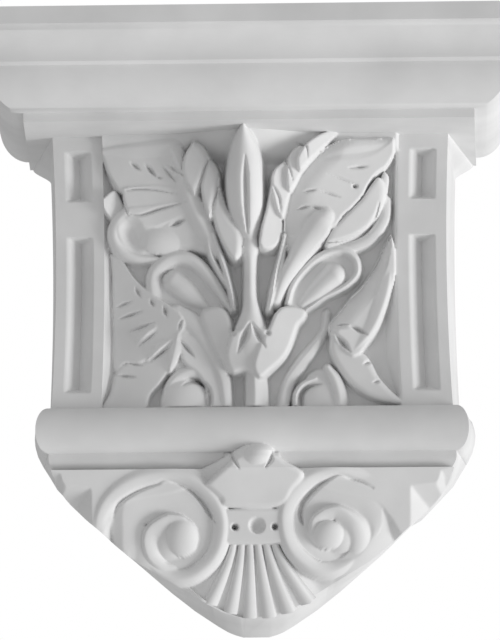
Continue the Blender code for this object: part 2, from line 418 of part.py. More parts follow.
def panel_relief(u, v):
    carving = Relief(u, v, panel_ground(u, v))
    for slab in LOWER_LEFT["slabs"] + LOWER_RIGHT["slabs"]:
        carving.slab(**slab)
    for blade in LOWER_LEFT["blades"] + LOWER_RIGHT["blades"]:
        carving.blade(**blade)
    for disc in SCROLLS["discs"]:
        carving.dome(**disc)
    for band in SCROLLS["bands"]:
        carving.blade(**band)
    for crescent in SCROLLS["crescents"]:
        carving.cut(crescent, deep=1.6)
    for dish in RINGS["dishes"]:
        carving.slab(**dish)
    for blade in RINGS["eggs"] + RINGS["rims"]:
        carving.blade(**blade)
    for slab in UPPER_LEFT["slabs"] + UPPER_RIGHT["slabs"]:
        carving.slab(**slab)
    carving.cut(UPPER_RIGHT["valley"], deep=0.45)
    for blade in UPPER_LEFT["blades"] + UPPER_RIGHT["blades"]:
        carving.blade(**blade)
    carving.hollow(**UPPER_LEFT["hollow"])
    for slab in HUSKS["slabs"]:
        carving.slab(**slab)
    for stem in HUSKS["stems"]:
        carving.blade(**stem)
    carving.blade(**BUD["lobe"])
    carving.cut(BUD["groove"], deep=1.8)
    carving.blade(**BUD["stem"])
    carving.blade(**CALYX["stalk"])
    for slab in CALYX["slabs"]:
        carving.slab(**slab)
    for notch in CALYX["notches"]:
        carving.cut(notch, deep=1.8)
    # what reaches the roll or the panel's sides dies away into them
    foot = np.clip((PANEL_UNITS[1] - v) / 5.0, 0, 1)
    side = np.clip((PANEL_UNITS[0] / 2 - np.abs(u)) / 2.5, 0, 1)
    return np.minimum(carving.height, 1.0 + 40.0 * np.minimum(foot, side))


def around(volute, turns):
    """Knots of a spiral band, from its turns."""
    line = []
    for degrees, radius, *rest in turns:
        angle = np.radians(degrees)
        radius *= volute["size"]
        line.append((volute["middle"][0] + volute["side"] * radius * np.cos(angle),
                     volute["middle"][1] + radius * np.sin(angle), *rest))
    return line


def coiled(carving, volute, turns, falls, power):
    """Lays a spiral band; the mirrored volute swaps its left and right."""
    rows = around(volute, turns)
    if volute["side"] < 0:
        rows = [(u, v, inwards, outwards, crest) for u, v, outwards, inwards, crest in rows]
        falls = falls[::-1]
    carving.blade(rows, falls, power)


def carve_volute(carving, volute):
    coiled(carving, volute, VOLUTES["apron"], (8.5, 0.5), 1.3)
    coiled(carving, volute, VOLUTES["channel"], (0.4, 1.0), 2.0)
    coiled(carving, volute, VOLUTES["rim"], (3.0, 2.2), 1.7)
    carving.cut(around(volute, VOLUTES["soft"]), deep=0.4)
    coiled(carving, volute, volute["coil"], (3.4, 2.6), 2.2)
    middle = volute["middle"]
    carving.dome((middle[0] + volute["eye"][0], middle[1] + volute["eye"][1]), volute["eye_size"], 8.4, 2.4)


def mirrored(slab):
    lean = slab.get("lean", (0, 0))
    return {**slab, "outline": [(-a, b) for a, b in slab["outline"]], "lean": (-lean[0], lean[1])}


def carve_hood(carving):
    for slab in HOOD["slabs"]:
        carving.slab(**slab)
    carving.dome(**HOOD["knob"])


def pendant_relief(u, v):
    carving = Relief(u, v, -6.0 - 10.0 * np.clip((np.abs(u) - 78) / 12.0, 0, 1))
    for leaf in EARS["leaves"]:
        carving.slab(**leaf)
        carving.slab(**mirrored(leaf))
    carving.height = np.minimum(carving.height, EARS["top"])
    carve_hood(carving)
    carving.slab(**STRAP["slab"])
    across = u / np.maximum((v - 20) * SHELL["spread"], 1)
    fan = SHELL["crown"] * np.sqrt(np.clip(1 - across**2, 0, 1)) - 0.8
    on_fan = (v > SHELL["foot"]) & (np.abs(across) < 1)
    carving.height = np.where(on_fan, np.maximum(carving.height, fan), carving.height)
    for top, low, end in SHELL["grooves"]:
        carving.cut([(top, 37.4, 0.6), (top + (low - top) * 0.22, 47, 1.2), (top + (low - top) * 0.55, 57, 1.6),
                     (low, end, SHELL["wide"])], deep=SHELL["deep"])
    carve_volute(carving, VOLUTES["left"])
    carve_volute(carving, VOLUTES["right"])
    for at, radius in STRAP["holes"]:
        carving.hollow(at, (radius, radius), 4.0, power=0.5)
    return carving.height


def knob_relief(u, v):
    """The part of the hood that climbs on to the roll."""
    carving = Relief(u, v, np.full(u.shape, -30.0))
    carve_hood(carving)
    return carving.height


def waist(z):
    """0 at both ends of the body and 1 half way down."""
    share = (SOFFIT_Z - z) / BODY_HEIGHT
    return 4 * share * (1 - share)


def sinking_depth(x, z):
    """Two V shaped sinkings in each pilaster, their ends hipped."""
    middle = BODY_WIDTH / 2 - PILASTER_WIDTH / 2
    across = SINKING_WIDTH / 2 - np.abs(np.abs(x) - middle)
    top = SOFFIT_Z - SINKING_TOP
    slope = SINKING_DEPTH / (SINKING_WIDTH / 2)
    deep = np.zeros(x.shape)
    for start, long in ((top, SINKING_SHORT), (top - SINKING_SHORT - SINKING_GAP, SINKING_LONG)):
        from_end = SINKING_END_SLOPE * np.minimum(start - z, z - start + long)
        deep = np.maximum(deep, slope * np.minimum(across, from_end))
    return deep


def pendant_face(z):
    share = np.clip((PENDANT_TOP_Z - z) / PENDANT_HEIGHT, 0, 1)
    return PENDANT_DEPTH + (PENDANT_TIP_DEPTH - PENDANT_DEPTH) * (0.75 * share + 0.25 * share**2)


def pendant_units(x, z):
    u = (x / (BODY_WIDTH * 1.04) + CARVING_SHIFT / BODY_WIDTH) * PENDANT_UNITS[0]
    return u, (PENDANT_TOP_Z - z) * PENDANT_UNITS[1] / PENDANT_HEIGHT


def wall_half(z):
    """Half width of the outline on the wall, below the body."""
    share = (ROLL_TOP_Z - z) / (ROLL_TOP_Z - TIP_Z)
    return (BODY_WIDTH / 2 + ROLL_OUT + WALL_SPREAD) * np.interp(share, *zip(*WALL_OUTLINE))


def steps(start, end, size):
    return np.linspace(start, end, max(2, int(round(abs(end - start) / size)) + 1))


def snap(values, wanted):
    """Moves the nearest of the values on to each wanted one, so that an edge falls on a grid line."""
    values = np.array(values)
    for one in wanted:
        values[np.argmin(np.abs(values - one))] = one
    return np.sort(values)


def columns():
    """Where the grid lines stand across the body's front."""
    half = BODY_WIDTH / 2
    middle = half - PILASTER_WIDTH / 2
    key = [PANEL_HALF, middle - SINKING_WIDTH / 2, middle, middle + SINKING_WIDTH / 2]
    return snap(steps(-half, half, GRID), key + [-one for one in key])


def body_levels():
    top = SOFFIT_Z - SINKING_TOP
    second = top - SINKING_SHORT - SINKING_GAP
    key = [top, top - SINKING_SHORT, second, second - SINKING_LONG]
    return snap(steps(ROLL_TOP_Z, SOFFIT_Z, GRID), key)[::-1]


def surface_row(share, z, half, depth, wall, wall_z=None):
    """Points of one row: the left point on the wall, the front from left to right, the right point on the wall."""
    wall_z = z if wall_z is None else wall_z
    depth = np.broadcast_to(depth, share.shape)
    front = [(half * s, -d, z) for s, d in zip(share, depth)]
    return [(-wall, 0.0, wall_z)] + front + [(wall, 0.0, wall_z)]


def cornice_rows(share):
    half = BODY_WIDTH / 2 + SOFFIT_SIDE
    depth = BODY_DEPTH + SOFFIT_FRONT
    return [surface_row(share, z, half + out, depth + out, half + out + SIDE_FLARE) for out, z in cornice_profile()]


def body_rows(share):
    x, z = np.meshgrid(share * BODY_WIDTH / 2, body_levels())
    u = x * PANEL_UNITS[0] / 2 / PANEL_HALF + CARVING_SHIFT / BODY_WIDTH * PENDANT_UNITS[0]
    carved = panel_relief(u, (SOFFIT_Z - z) * PANEL_UNITS[1] / BODY_HEIGHT) * MM
    front = BODY_DEPTH - BODY_HOLLOW * waist(z) - sinking_depth(x, z)
    front = np.where(np.abs(x) < PANEL_HALF, front + carved, front)
    rows = []
    for level, depth in zip(z[:, 0], front):
        wide = BODY_WIDTH / 2 - BODY_WAIST * waist(level)
        rows.append(surface_row(share, level, wide, depth, wide + SIDE_FLARE))
    return rows


def roll_rows(share):
    """The roll and the neck, with the hood's knob over their lower part."""
    profile = roll_profile()
    x, z = np.meshgrid(share * BODY_WIDTH / 2, [level for _, level in profile])
    knob = pendant_face(PENDANT_TOP_Z) + knob_relief(*pendant_units(x, z)) * MM
    rows = []
    for (out, level), over in zip(profile, knob):
        depth = BODY_DEPTH + out
        if level < ROLL_TOP_Z - 0.4 * ROLL_HEIGHT:
            depth = np.maximum(depth, over)
        half = BODY_WIDTH / 2 + out * ROLL_SIDE_OUT / ROLL_OUT
        rows.append(surface_row(share, level, half, depth, wall_half(level)))
    return rows


def pendant_rows(share):
    levels = steps(PENDANT_TOP_Z, PENDANT_TOP_Z - PENDANT_HEIGHT, GRID)
    down = (PENDANT_TOP_Z - levels) / PENDANT_HEIGHT
    wide = BODY_WIDTH / 2 * np.interp(down, *zip(*PENDANT_FRONT))
    x = share[None, :] * wide[:, None]
    z = np.broadcast_to(levels[:, None], x.shape)
    face = pendant_face(z) + pendant_relief(*pendant_units(x, z)) * MM
    face = np.minimum(face, BODY_DEPTH + ROLL_OUT)
    rows = []
    for i, level in enumerate(levels):
        wall_z = level - PENDANT_DROP * down[i]
        rows.append(surface_row(share, level, wide[i], face[i], wall_half(wall_z), wall_z))
    return rows


def cornice_profile():
    """Points of the cornice from its top edge down to the soffit, as (out, z)."""
    points = [(OVOLO_OUT + ARRIS_OUT + CAVETTO_OUT, TOP_Z)]
    z = TOP_Z - FASCIA_HEIGHT
    out = OVOLO_OUT + ARRIS_OUT
    for angle in np.linspace(0, np.pi / 2, 9):
        points.append((out + CAVETTO_OUT * (1 - np.sin(angle)), z - CAVETTO_HEIGHT * (1 - np.cos(angle))))
    z -= CAVETTO_HEIGHT + ARRIS_HEIGHT
    points.append((OVOLO_OUT, z))
    for angle in np.linspace(0, np.pi / 2, 9)[1:]:
        points.append((QUIRK + (OVOLO_OUT - QUIRK) * np.cos(angle), z - OVOLO_HEIGHT * np.sin(angle)))
    z -= OVOLO_HEIGHT
    points.append((0.0, z))
    points.append((0.0, SOFFIT_Z))
    return points


def roll_profile():
    """Points of the roll and of the neck below it, as (out, z)."""
    middle = ROLL_TOP_Z - ROLL_HEIGHT / 2
    points = []
    for angle in np.linspace(90, -90, 15):
        angle = np.radians(angle)
        points.append((ROLL_STEP + (ROLL_OUT - ROLL_STEP) * np.cos(angle), middle + ROLL_HEIGHT / 2 * np.sin(angle)))
    for share in (0.0, 0.35, 0.7, 1.0):
        points.append((ROLL_STEP - NECK_COVE * share**2, NECK_TOP_Z - NECK_HEIGHT * (0.3 + 0.7 * share)))
    return points


def build_mesh(rows):
    mesh = bmesh.new()
    grid = [[mesh.verts.new(point) for point in row] for row in rows]
    for upper, lower in zip(grid[:-1], grid[1:]):
        for i in range(len(upper) - 1):
            mesh.faces.new((upper[i], lower[i], lower[i + 1], upper[i + 1]))
    # flat top, then the underside down to the wall, then the flat back
    mesh.faces.new(grid[0])
    left, right = rows[-1][0], rows[-1][-1]
    foot = []
    for s in np.linspace(0, 1, len(grid[-1]))[1:-1]:
        foot.append(mesh.verts.new((left[0] + (right[0] - left[0]) * s, 0.0, left[2])))
    foot = [grid[-1][0]] + foot + [grid[-1][-1]]
    for i in range(len(foot) - 1):
        corners = [grid[-1][i], foot[i], foot[i + 1], grid[-1][i + 1]]
        corners = [one for k, one in enumerate(corners) if one not in corners[:k]]
        if len(corners) > 2:
            mesh.faces.new(corners)
    back = [row[0] for row in grid] + foot[1:-1] + [row[-1] for row in reversed(grid)]
    mesh.faces.new(list(reversed(back)))
    bmesh.ops.remove_doubles(mesh, verts=mesh.verts, dist=0.00001)
    bmesh.ops.recalc_face_normals(mesh, faces=mesh.faces)
    return mesh


def plaster():
    material = bpy.data.materials.new("CastPlaster")
    material.use_nodes = True
    shader = material.node_tree.nodes["Principled BSDF"]
    shader.inputs["Base Color"].default_value = (0.85, 0.85, 0.85, 1.0)
    shader.inputs["Roughness"].default_value = 0.75
    shader.inputs["Metallic"].default_value = 0.0
    return material


def build_corbel():
    share = columns() / (BODY_WIDTH / 2)
    mesh = build_mesh(cornice_rows(share) + body_rows(share) + roll_rows(share) + pendant_rows(share))
    bmesh.ops.triangulate(mesh, faces=mesh.faces)
    count = len(mesh.faces)
    data = bpy.data.meshes.new("corbel")
    mesh.to_mesh(data)
    mesh.free()
    corbel = bpy.data.objects.new("corbel", data)
    bpy.context.scene.collection.objects.link(corbel)
    corbel.data.materials.append(plaster())
    fewer = corbel.modifiers.new("Fewer faces where the surface is plain", "DECIMATE")
    fewer.ratio = min(1.0, TRIANGLES / count)
    return corbel


for old in list(bpy.data.objects):
    bpy.data.objects.remove(old)
build_corbel()
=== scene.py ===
import math

import bmesh
import bpy
import numpy as np
from mathutils import Matrix, Vector


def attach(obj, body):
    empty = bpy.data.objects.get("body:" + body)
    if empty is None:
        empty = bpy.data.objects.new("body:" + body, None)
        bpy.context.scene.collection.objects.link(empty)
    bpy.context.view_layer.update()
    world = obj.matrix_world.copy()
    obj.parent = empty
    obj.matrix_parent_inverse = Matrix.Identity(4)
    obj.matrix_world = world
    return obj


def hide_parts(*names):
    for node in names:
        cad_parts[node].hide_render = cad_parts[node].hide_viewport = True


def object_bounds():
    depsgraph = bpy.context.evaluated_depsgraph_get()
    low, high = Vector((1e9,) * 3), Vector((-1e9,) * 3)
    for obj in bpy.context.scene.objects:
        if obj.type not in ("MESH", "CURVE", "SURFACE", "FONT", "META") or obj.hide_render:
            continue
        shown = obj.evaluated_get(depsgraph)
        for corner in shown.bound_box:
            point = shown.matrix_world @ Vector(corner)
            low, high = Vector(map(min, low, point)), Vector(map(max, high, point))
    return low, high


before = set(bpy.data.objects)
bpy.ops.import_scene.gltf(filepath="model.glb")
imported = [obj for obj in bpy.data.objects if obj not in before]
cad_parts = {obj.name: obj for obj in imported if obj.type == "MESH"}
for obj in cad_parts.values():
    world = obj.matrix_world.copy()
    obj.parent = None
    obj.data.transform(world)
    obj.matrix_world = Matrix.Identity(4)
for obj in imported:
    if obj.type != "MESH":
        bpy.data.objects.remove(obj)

cadLow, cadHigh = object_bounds()
mm = 0.001
print("frame loaded, box", list(cadLow), list(cadHigh))

# Sizes are in millimetres, in the frame's own axes: x to the right, y into the wall, z up.
cornice = {
    "fasciaHeight": 8.3, "cavettoHeight": 14.7, "cavettoOut": 14.5, "arrisHeight": 1.2, "arrisOut": 3.0,
    "ovoloHeight": 19.4, "ovoloOut": 16.0, "lowerFasciaHeight": 4.2, "quirk": 0.7,
    "soffitFront": 37.0, "soffitSide": 10.6, "flare": 8.3, "arcPoints": 17,
}
body = {
    "height": 133.7, "width": 193.8, "depth": 80.0, "hollow": 4.5, "waist": 1.6, "flare": 8.3, "sweep": (9.0, 7.5),
    "pilaster": 24.0, "sinkingWidth": 12.6, "sinkingDepth": 7.5, "sinkingHip": 2.5, "sinkingTop": 7.0,
    "sinkingShort": 24.5, "sinkingLong": 77.0, "sinkingGap": 17.5, "shift": 0.9, "grid": 0.52, "pilasterGrid": 1.2,
}
roll = {
    "height": 22.0, "out": 9.0, "side": 7.0, "step": 1.6, "arcPoints": 41,
    "neckHeight": 8.0, "neckFillet": 0.3, "neckCove": 3.0, "neckPoints": 14, "knobReach": 0.4,
}
pendant = {
    "height": 70.2, "drop": 8.3, "depth": 81.0, "tipDepth": 45.0, "bow": 0.25, "grid": 0.5,
    "front": [(0.0, 1.0), (0.07, 0.985), (0.13, 0.965), (0.19, 0.935), (0.23, 0.91), (0.27, 0.88), (0.33, 0.835),
              (0.41, 0.765), (0.51, 0.687), (0.62, 0.586), (0.71, 0.475), (0.82, 0.333), (0.91, 0.232), (0.96, 0.162),
              (1.0, 0.071)],
    # half widths of the outline on the wall, at heights below the top of the roll
    "wall": [(0, 111.2), (4, 112.4), (7, 112.8), (11, 112.4), (16, 111.0), (21, 108.4), (27, 104.6), (33, 101.0),
             (39, 95.2), (45, 89.4), (50, 84.5), (53, 79.0), (58, 73.8), (67, 64.5), (77, 53.0), (86, 42.5),
             (95, 31.0), (103, 19.0), (106, 13.8), (107.6, 9.8), (108.4, 6.5)],
}
corniceHeight = sum(cornice[k] for k in
                    ("fasciaHeight", "cavettoHeight", "arrisHeight", "ovoloHeight", "lowerFasciaHeight"))
topZ = cadHigh[2] / mm
soffitZ = topZ - corniceHeight
rollTopZ = soffitZ - body["height"]
neckTopZ = rollTopZ - roll["height"]
pendantTopZ = neckTopZ - roll["neckHeight"]
panelHalf = body["width"] / 2 - body["pilaster"]
panelUnits = (150.0, 135.4)  # the carving is drawn on a sheet this wide and high
pendantUnits = (206.0, 74.5)
pendantReach = 1.04  # the width of the pendant's sheet, as a share of the body's


# Relief tools: u runs right and v down over a sheet, about a millimetre a unit, and heights are millimetres out

def spline(knots, steps=10):  # a smooth line through rows of numbers
    rows = np.asarray(knots, float)
    if len(rows) == 2:
        share = np.linspace(0, 1, steps + 1)[:, None]
        return rows[0] + (rows[1] - rows[0]) * share
    rows = np.vstack([2 * rows[0] - rows[1], rows, 2 * rows[-1] - rows[-2]])
    share = np.linspace(0, 1, steps, endpoint=False)[:, None]
    line = []
    for a, b, c, d in zip(rows[:-3], rows[1:-2], rows[2:-1], rows[3:]):
        line.append(0.5 * (2 * b + (c - a) * share + (2 * a - 5 * b + 4 * c - d) * share**2
                           + (3 * b - a - 3 * c + d) * share**3))
    return np.vstack(line + [rows[-2:-1]])


def headed(line):  # adds the way that a line runs at each of its points
    way = np.gradient(line[:, :2], axis=0)
    return np.hstack([line, way])


class Clay:  # a sheet of heights that blades, slabs and domes are laid on and cuts are taken from
    def __init__(self, u, v, ground):
        self.u, self.v, self.height = u, v, ground.copy()

    def window(self, line, reach):  # the part of the sheet that a line can touch
        low, high = line[:, :2].min(0) - reach, line[:, :2].max(0) + reach
        rows = np.flatnonzero((self.v.max(1) >= low[1]) & (self.v.min(1) <= high[1]))
        cols = np.flatnonzero((self.u.max(0) >= low[0]) & (self.u.min(0) <= high[0]))
        if not len(rows) or not len(cols):
            return None
        return slice(rows[0], rows[-1] + 1), slice(cols[0], cols[-1] + 1)

    def nearest(self, win, line):  # distance to a line, the way from it, and its further columns there
        u, v = self.u[win], self.v[win]
        far = np.full(u.shape, 1e9)
        away = np.zeros((2,) + u.shape)
        values = np.zeros((line.shape[1] - 2,) + u.shape)
        for a, b in zip(line[:-1], line[1:]):
            du, dv = b[:2] - a[:2]
            share = np.clip(((u - a[0]) * du + (v - a[1]) * dv) / (du * du + dv * dv + 1e-12), 0, 1)
            offU, offV = u - a[0] - share * du, v - a[1] - share * dv
            gap = np.hypot(offU, offV)
            closer = gap < far
            far[closer] = gap[closer]
            away[0][closer], away[1][closer] = offU[closer], offV[closer]
            for i in range(len(values)):
                values[i][closer] = (a[2 + i] + (b[2 + i] - a[2 + i]) * share)[closer]
        return far, away, values

    def blade(self, knots, falls=(2, 2), power=1.5, edge=7.0, margin=4):  # knots: u, v, width to left and right, crest
        line = spline(knots)
        win = self.window(line, line[:, 2:4].max() + margin)
        if win is None:
            return
        gap, away, (left, right, crest, du, dv) = self.nearest(win, headed(line))
        onRight = du * away[1] - dv * away[0] > 0
        wide = np.maximum(np.where(onRight, right, left), 0.05)
        fall = np.where(onRight, falls[1], falls[0])
        height = crest - fall * np.clip(gap / wide, 0, 1)**power - edge * np.clip(gap - wide, 0, None)
        self.height[win] = np.maximum(self.height[win], height)

    def slab(self, outline, high, lean=(0, 0), soft=(1, 2), flank=None, edge=8.0, margin=5):  # a plate, its rim eased
        line = spline(list(outline) + [outline[0]], 5)
        win = self.window(line, margin)
        if win is None:
            return
        gap, away, _ = self.nearest(win, line)
        u, v = self.u[win], self.v[win]
        inside = np.zeros(u.shape, bool)
        for (u0, v0), (u1, v1) in zip(line[:-1], line[1:]):
            if v0 != v1:
                inside ^= ((v0 > v) != (v1 > v)) & (u < u0 + (u1 - u0) * (v - v0) / (v1 - v0))
        middle = np.mean(outline, 0)
        height = high + lean[0] * (u - middle[0]) + lean[1] * (v - middle[1])
        fall, wide = soft
        if flank:  # the rim that faces this way falls further
            facing = np.clip(-(away[0] * flank[0] + away[1] * flank[1]) / np.maximum(gap, 1e-6), 0, 1)
            fall, wide = fall + flank[2] * facing, wide + flank[3] * facing
        eased = height - fall * np.clip(1 - gap / wide, 0, 1)**2
        height = np.where(inside, eased, height - fall - edge * gap)
        self.height[win] = np.maximum(self.height[win], height)

    def cut(self, knots, deep=1.5, margin=0.5):  # knots: u, v, half width; deep is a share of that
        line = spline(knots)
        win = self.window(line, line[:, 2].max() + margin)
        if win is None:
            return
        gap, _, (wide,) = self.nearest(win, line)
        wide = np.maximum(wide, 0.05)
        self.height[win] -= deep * wide * np.clip(1 - gap / wide, 0, 1)

    def fromCentre(self, at, size, turn):
        angle = math.radians(turn)
        du, dv = self.u - at[0], self.v - at[1]
        return np.hypot((du * math.cos(angle) + dv * math.sin(angle)) / size[0],
                        (dv * math.cos(angle) - du * math.sin(angle)) / size[1])

    def dome(self, at, size, top, rim, turn=0.0, power=0.5):
        out = self.fromCentre(at, size, turn)
        height = rim + (top - rim) * np.clip(1 - out**2, 0, None)**power
        self.height = np.where(out < 1, np.maximum(self.height, height), self.height)

    def hollow(self, at, size, deep, turn=0.0, power=1.0):
        out = self.fromCentre(at, size, turn)
        self.height -= deep * np.clip(1 - out**2, 0, 1)**power


def lay(tool, *groups):  # uses one tool on every row of some groups
    for group in groups:
        for row in group:
            tool(**row)


def cutAll(clay, lines, deep):
    for line in lines:
        clay.cut(line, deep)


strokeEnds = (0.3, 0.2)  # half widths where a stroke starts and ends


def strokes(clay, rows, deep):  # short cuts: start, end and half width of each
    for a, b, wide in rows:
        middle = ((a[0] + b[0]) / 2, (a[1] + b[1]) / 2)
        clay.cut([(*a, strokeEnds[0]), (*middle, wide), (*b, strokeEnds[1])], deep)


def alike(rows, **same):  # slabs that differ only in height and outline
    return [dict(outline=outline, high=high, **same) for high, *outline in rows]


# The carved panel

reveals = {  # their widths down the sides of the panel, and how far they fall
    "left": [(0, 1.5), (8, 1.5), (18, 3.5), (27, 6), (34, 5), (42, 3.5), (56, 3.7), (80, 4.4), (90, 5.4), (103, 6.6),
             (112, 7.0), (120, 6.2), (127, 4), (133, 1.5)],
    "right": [(0, 1.5), (38, 1.5), (60, 3), (90, 5.5), (110, 6), (130, 1.5)],
    "deep": 6.5,
}
panelBed = {  # how low it lies, its cove under the soffit, the cove's middle and the swell down the axis
    "low": -7.0, "coveHeight": 14.0, "coveOut": 11.0, "middleOut": 4.0, "middleWide": 30.0, "middleHeight": 15.0,
    "swellOut": 8.5, "swellWide": 24.0, "swellHeight": 150.0,
}


def panelGround(u, v):  # coved forward to the soffit, fullest on the axis, with sloping reveals at both sides
    cove = 1 - np.clip(v / panelBed["coveHeight"], 0, 1)**2.0
    middle = np.exp(-(u / panelBed["middleWide"])**2) * np.clip(1 - v / panelBed["middleHeight"], 0, 1)**1.2
    swell = np.exp(-(u / panelBed["swellWide"])**2) * np.clip(1 - v / panelBed["swellHeight"], 0, 1)
    low = panelBed["low"] + cove * (panelBed["coveOut"] + panelBed["middleOut"] * middle)
    low += panelBed["swellOut"] * swell
    wide = np.where(u < 0, np.interp(v, *zip(*reveals["left"])), np.interp(v, *zip(*reveals["right"])))
    share = (np.abs(u) - panelUnits[0] / 2 + wide) / wide
    return np.where(share > 0, np.maximum(low, reveals["deep"] * np.clip(share - 1, -1, 0)), low)


upperLeft = {
    "slabs": [
        dict(high=3, lean=(-0.55, -0.1), soft=(0.5, 1), outline=[
            (-75, 32), (-68, 27), (-63.5, 37), (-67, 43), (-73, 38)]),
        dict(high=4.8, lean=(0.02, -0.12), soft=(1.5, 3.5), outline=[
            (-43, 43), (-33, 39), (-25, 38), (-18, 52), (-17, 60), (-30, 57), (-44, 58.5), (-56, 59), (-64, 56),
            (-68, 50), (-68.5, 44), (-62, 39), (-56, 43)]),
        dict(high=6, lean=(0.03, 0), soft=(0.3, 0.8), outline=[
            (-62, 36), (-50, 35), (-36, 33), (-27, 33), (-25, 40), (-33.5, 41), (-42, 44), (-48, 46), (-56, 45),
            (-62, 42)]),
        dict(high=5.5, lean=(0.04, 0), soft=(0.3, 0.8), outline=[
            (-64, 26), (-50, 25), (-33, 27), (-30, 33), (-36, 34.7), (-45, 37), (-51, 39), (-57, 40.5), (-61.5, 39),
            (-63.5, 33)]),
        dict(high=4.4, lean=(0.06, 0.05), soft=(1.2, 1.6), outline=[
            (-74.5, 9), (-70, 5.5), (-60, 4.5), (-50, 2), (-38, 0.5), (-33, 12), (-30, 22), (-26, 32), (-35, 30),
            (-45, 28.3), (-56, 26.8), (-63, 28), (-67.5, 26.3), (-71.5, 18.5)]),
    ],
    "blades": [
        dict(falls=(2.2, 0.8), knots=[
            (-73, 7, 2.5, 4, 3), (-62, 6.3, 3.5, 5, 4.2), (-50, 6, 4.5, 5, 5.2), (-38, 5.5, 5, 5, 6.5)]),
        dict(falls=(2.5, 5.5), power=1.5, knots=[
            (-38, 8, 5, 3, 7.5), (-34.5, 18, 5, 4, 9), (-31.5, 28, 5, 6, 9.8), (-26.5, 40, 5, 6.5, 9.8),
            (-20.5, 51, 4, 5.5, 9), (-17, 60, 3, 3, 6.5)]),
        dict(falls=(1.6, 1.8), power=2, knots=[
            (-61, 38, 2.2, 3.4, 5.2), (-67, 43.5, 2.4, 3.6, 4.6), (-68.5, 50, 2.4, 3.6, 4.2),
            (-65.5, 56, 2.4, 3.2, 4), (-58, 60, 2, 2.4, 3.6), (-47, 61.3, 1.5, 1.5, 3.4)]),
    ],
    "hollow": dict(at=(-59.5, 49), size=(7.5, 11.0), deep=4.2, turn=-20, power=2.0),
    "mound": dict(at=(-45, 52), size=(11, 7.5), top=6.8, rim=4.0, turn=5, power=1.0),
    "cuts": [((-60, 13), (-54.5, 17.5), 1.1), ((-52.5, 14), (-46.5, 21), 1.4), ((-46.5, 21), (-43.5, 21.5), 0.9),
             ((-43.5, 15.5), (-36.5, 24), 0.9), ((-40.5, 15), (-31.5, 22), 0.9), ((-40.5, 45.5), (-32, 42), 1.5)],
    "creases": [[(-62.5, 27.5, 0.3), (-57, 26.8, 0.6), (-48, 27.3, 0.6), (-36.5, 29.5, 0.2)],
                [(-61, 38.8, 0.3), (-55, 39.7, 0.7), (-45, 36.8, 0.8), (-31, 33.5, 0.2)],
                [(-74.5, 8, 0.3), (-72.3, 17.5, 0.7), (-67.5, 25.5, 0.8), (-63.5, 34, 0.7), (-61.5, 40, 0.4)]],
}
upperRight = {
    "slabs": [
        dict(high=5.6, lean=(-0.16, -0.08), soft=(0.8, 3), outline=[
            (43, 47), (50, 39.5), (57, 33), (62, 26), (66, 22), (69, 27), (68, 35), (64, 43), (56, 50.5), (47, 54),
            (39, 56)]),
        dict(high=1.6, lean=(-0.1, 0), soft=(0.6, 2), outline=[(68.5, 18), (71, 21), (70.5, 28), (69, 34), (66, 28)]),
        dict(high=8.4, lean=(-0.13, -0.06), soft=(0.5, 1), flank=(-0.95, -0.3, 5, 12), outline=[
            (18, 52), (18.3, 41.5), (20, 32.5), (22.5, 25), (27.5, 18.5), (35, 11.5), (42.5, 6), (50, 3.8),
            (62.5, 3.5), (72, 3), (73.6, 5.5), (73.3, 11), (70, 16.5), (65, 20.5), (61.3, 25), (58, 31), (53.5, 36),
            (48, 41), (44, 46), (38, 52), (30, 60), (22, 62)]),
    ],
    "blades": [
        dict(falls=(0.8, 1.4), power=2, knots=[
            (69.5, 33, 3, 2, 0), (68, 43, 3, 2.6, 1.2), (60, 52.5, 3, 2.6, 2), (48, 57, 2.5, 2.4, 2.5),
            (38, 59, 2, 1.5, 2)]),
        dict(falls=(2.2, 2.5), power=2, knots=[
            (38.5, 42, 4.5, 4.5, 12), (35, 46, 6.5, 5.5, 12.5), (29, 54, 6, 5, 11.5), (23, 63, 4.5, 3.8, 10),
            (17, 73, 3.4, 3, 8.5), (13, 84, 2.4, 2, 7)]),
    ],
    "valley": [(37, 14, 1), (47, 11.5, 3), (57, 10.5, 3), (65, 8.5, 2), (70, 5.5, 0.5)],
    "pit": dict(at=(53.9, 26.8), size=(1.4, 1.0), deep=4.5),
    "cuts": [((27.5, 30), (35, 28.5), 0.8), ((34, 28.5), (47, 32.5), 0.7), ((24.5, 38.5), (31.5, 36.6), 1.0),
             ((31, 36.5), (39, 39.5), 0.9), ((53, 25.5), (40, 21), 0.5), ((50.5, 18), (61, 17), 0.9)],
    "creases": [[(73.3, 11, 0.2), (70, 17, 0.4), (65, 21.3, 0.6), (61.2, 25.8, 0.6), (58, 31.5, 0.6), (53.5, 36.5, 0.6),
                 (48, 42, 0.6), (44.5, 46, 0.3)],
                [(66.5, 34, 0.3), (64.5, 41, 0.8), (60, 47.5, 1.0), (50, 52.5, 1.0), (36, 55, 0.4)]],
}

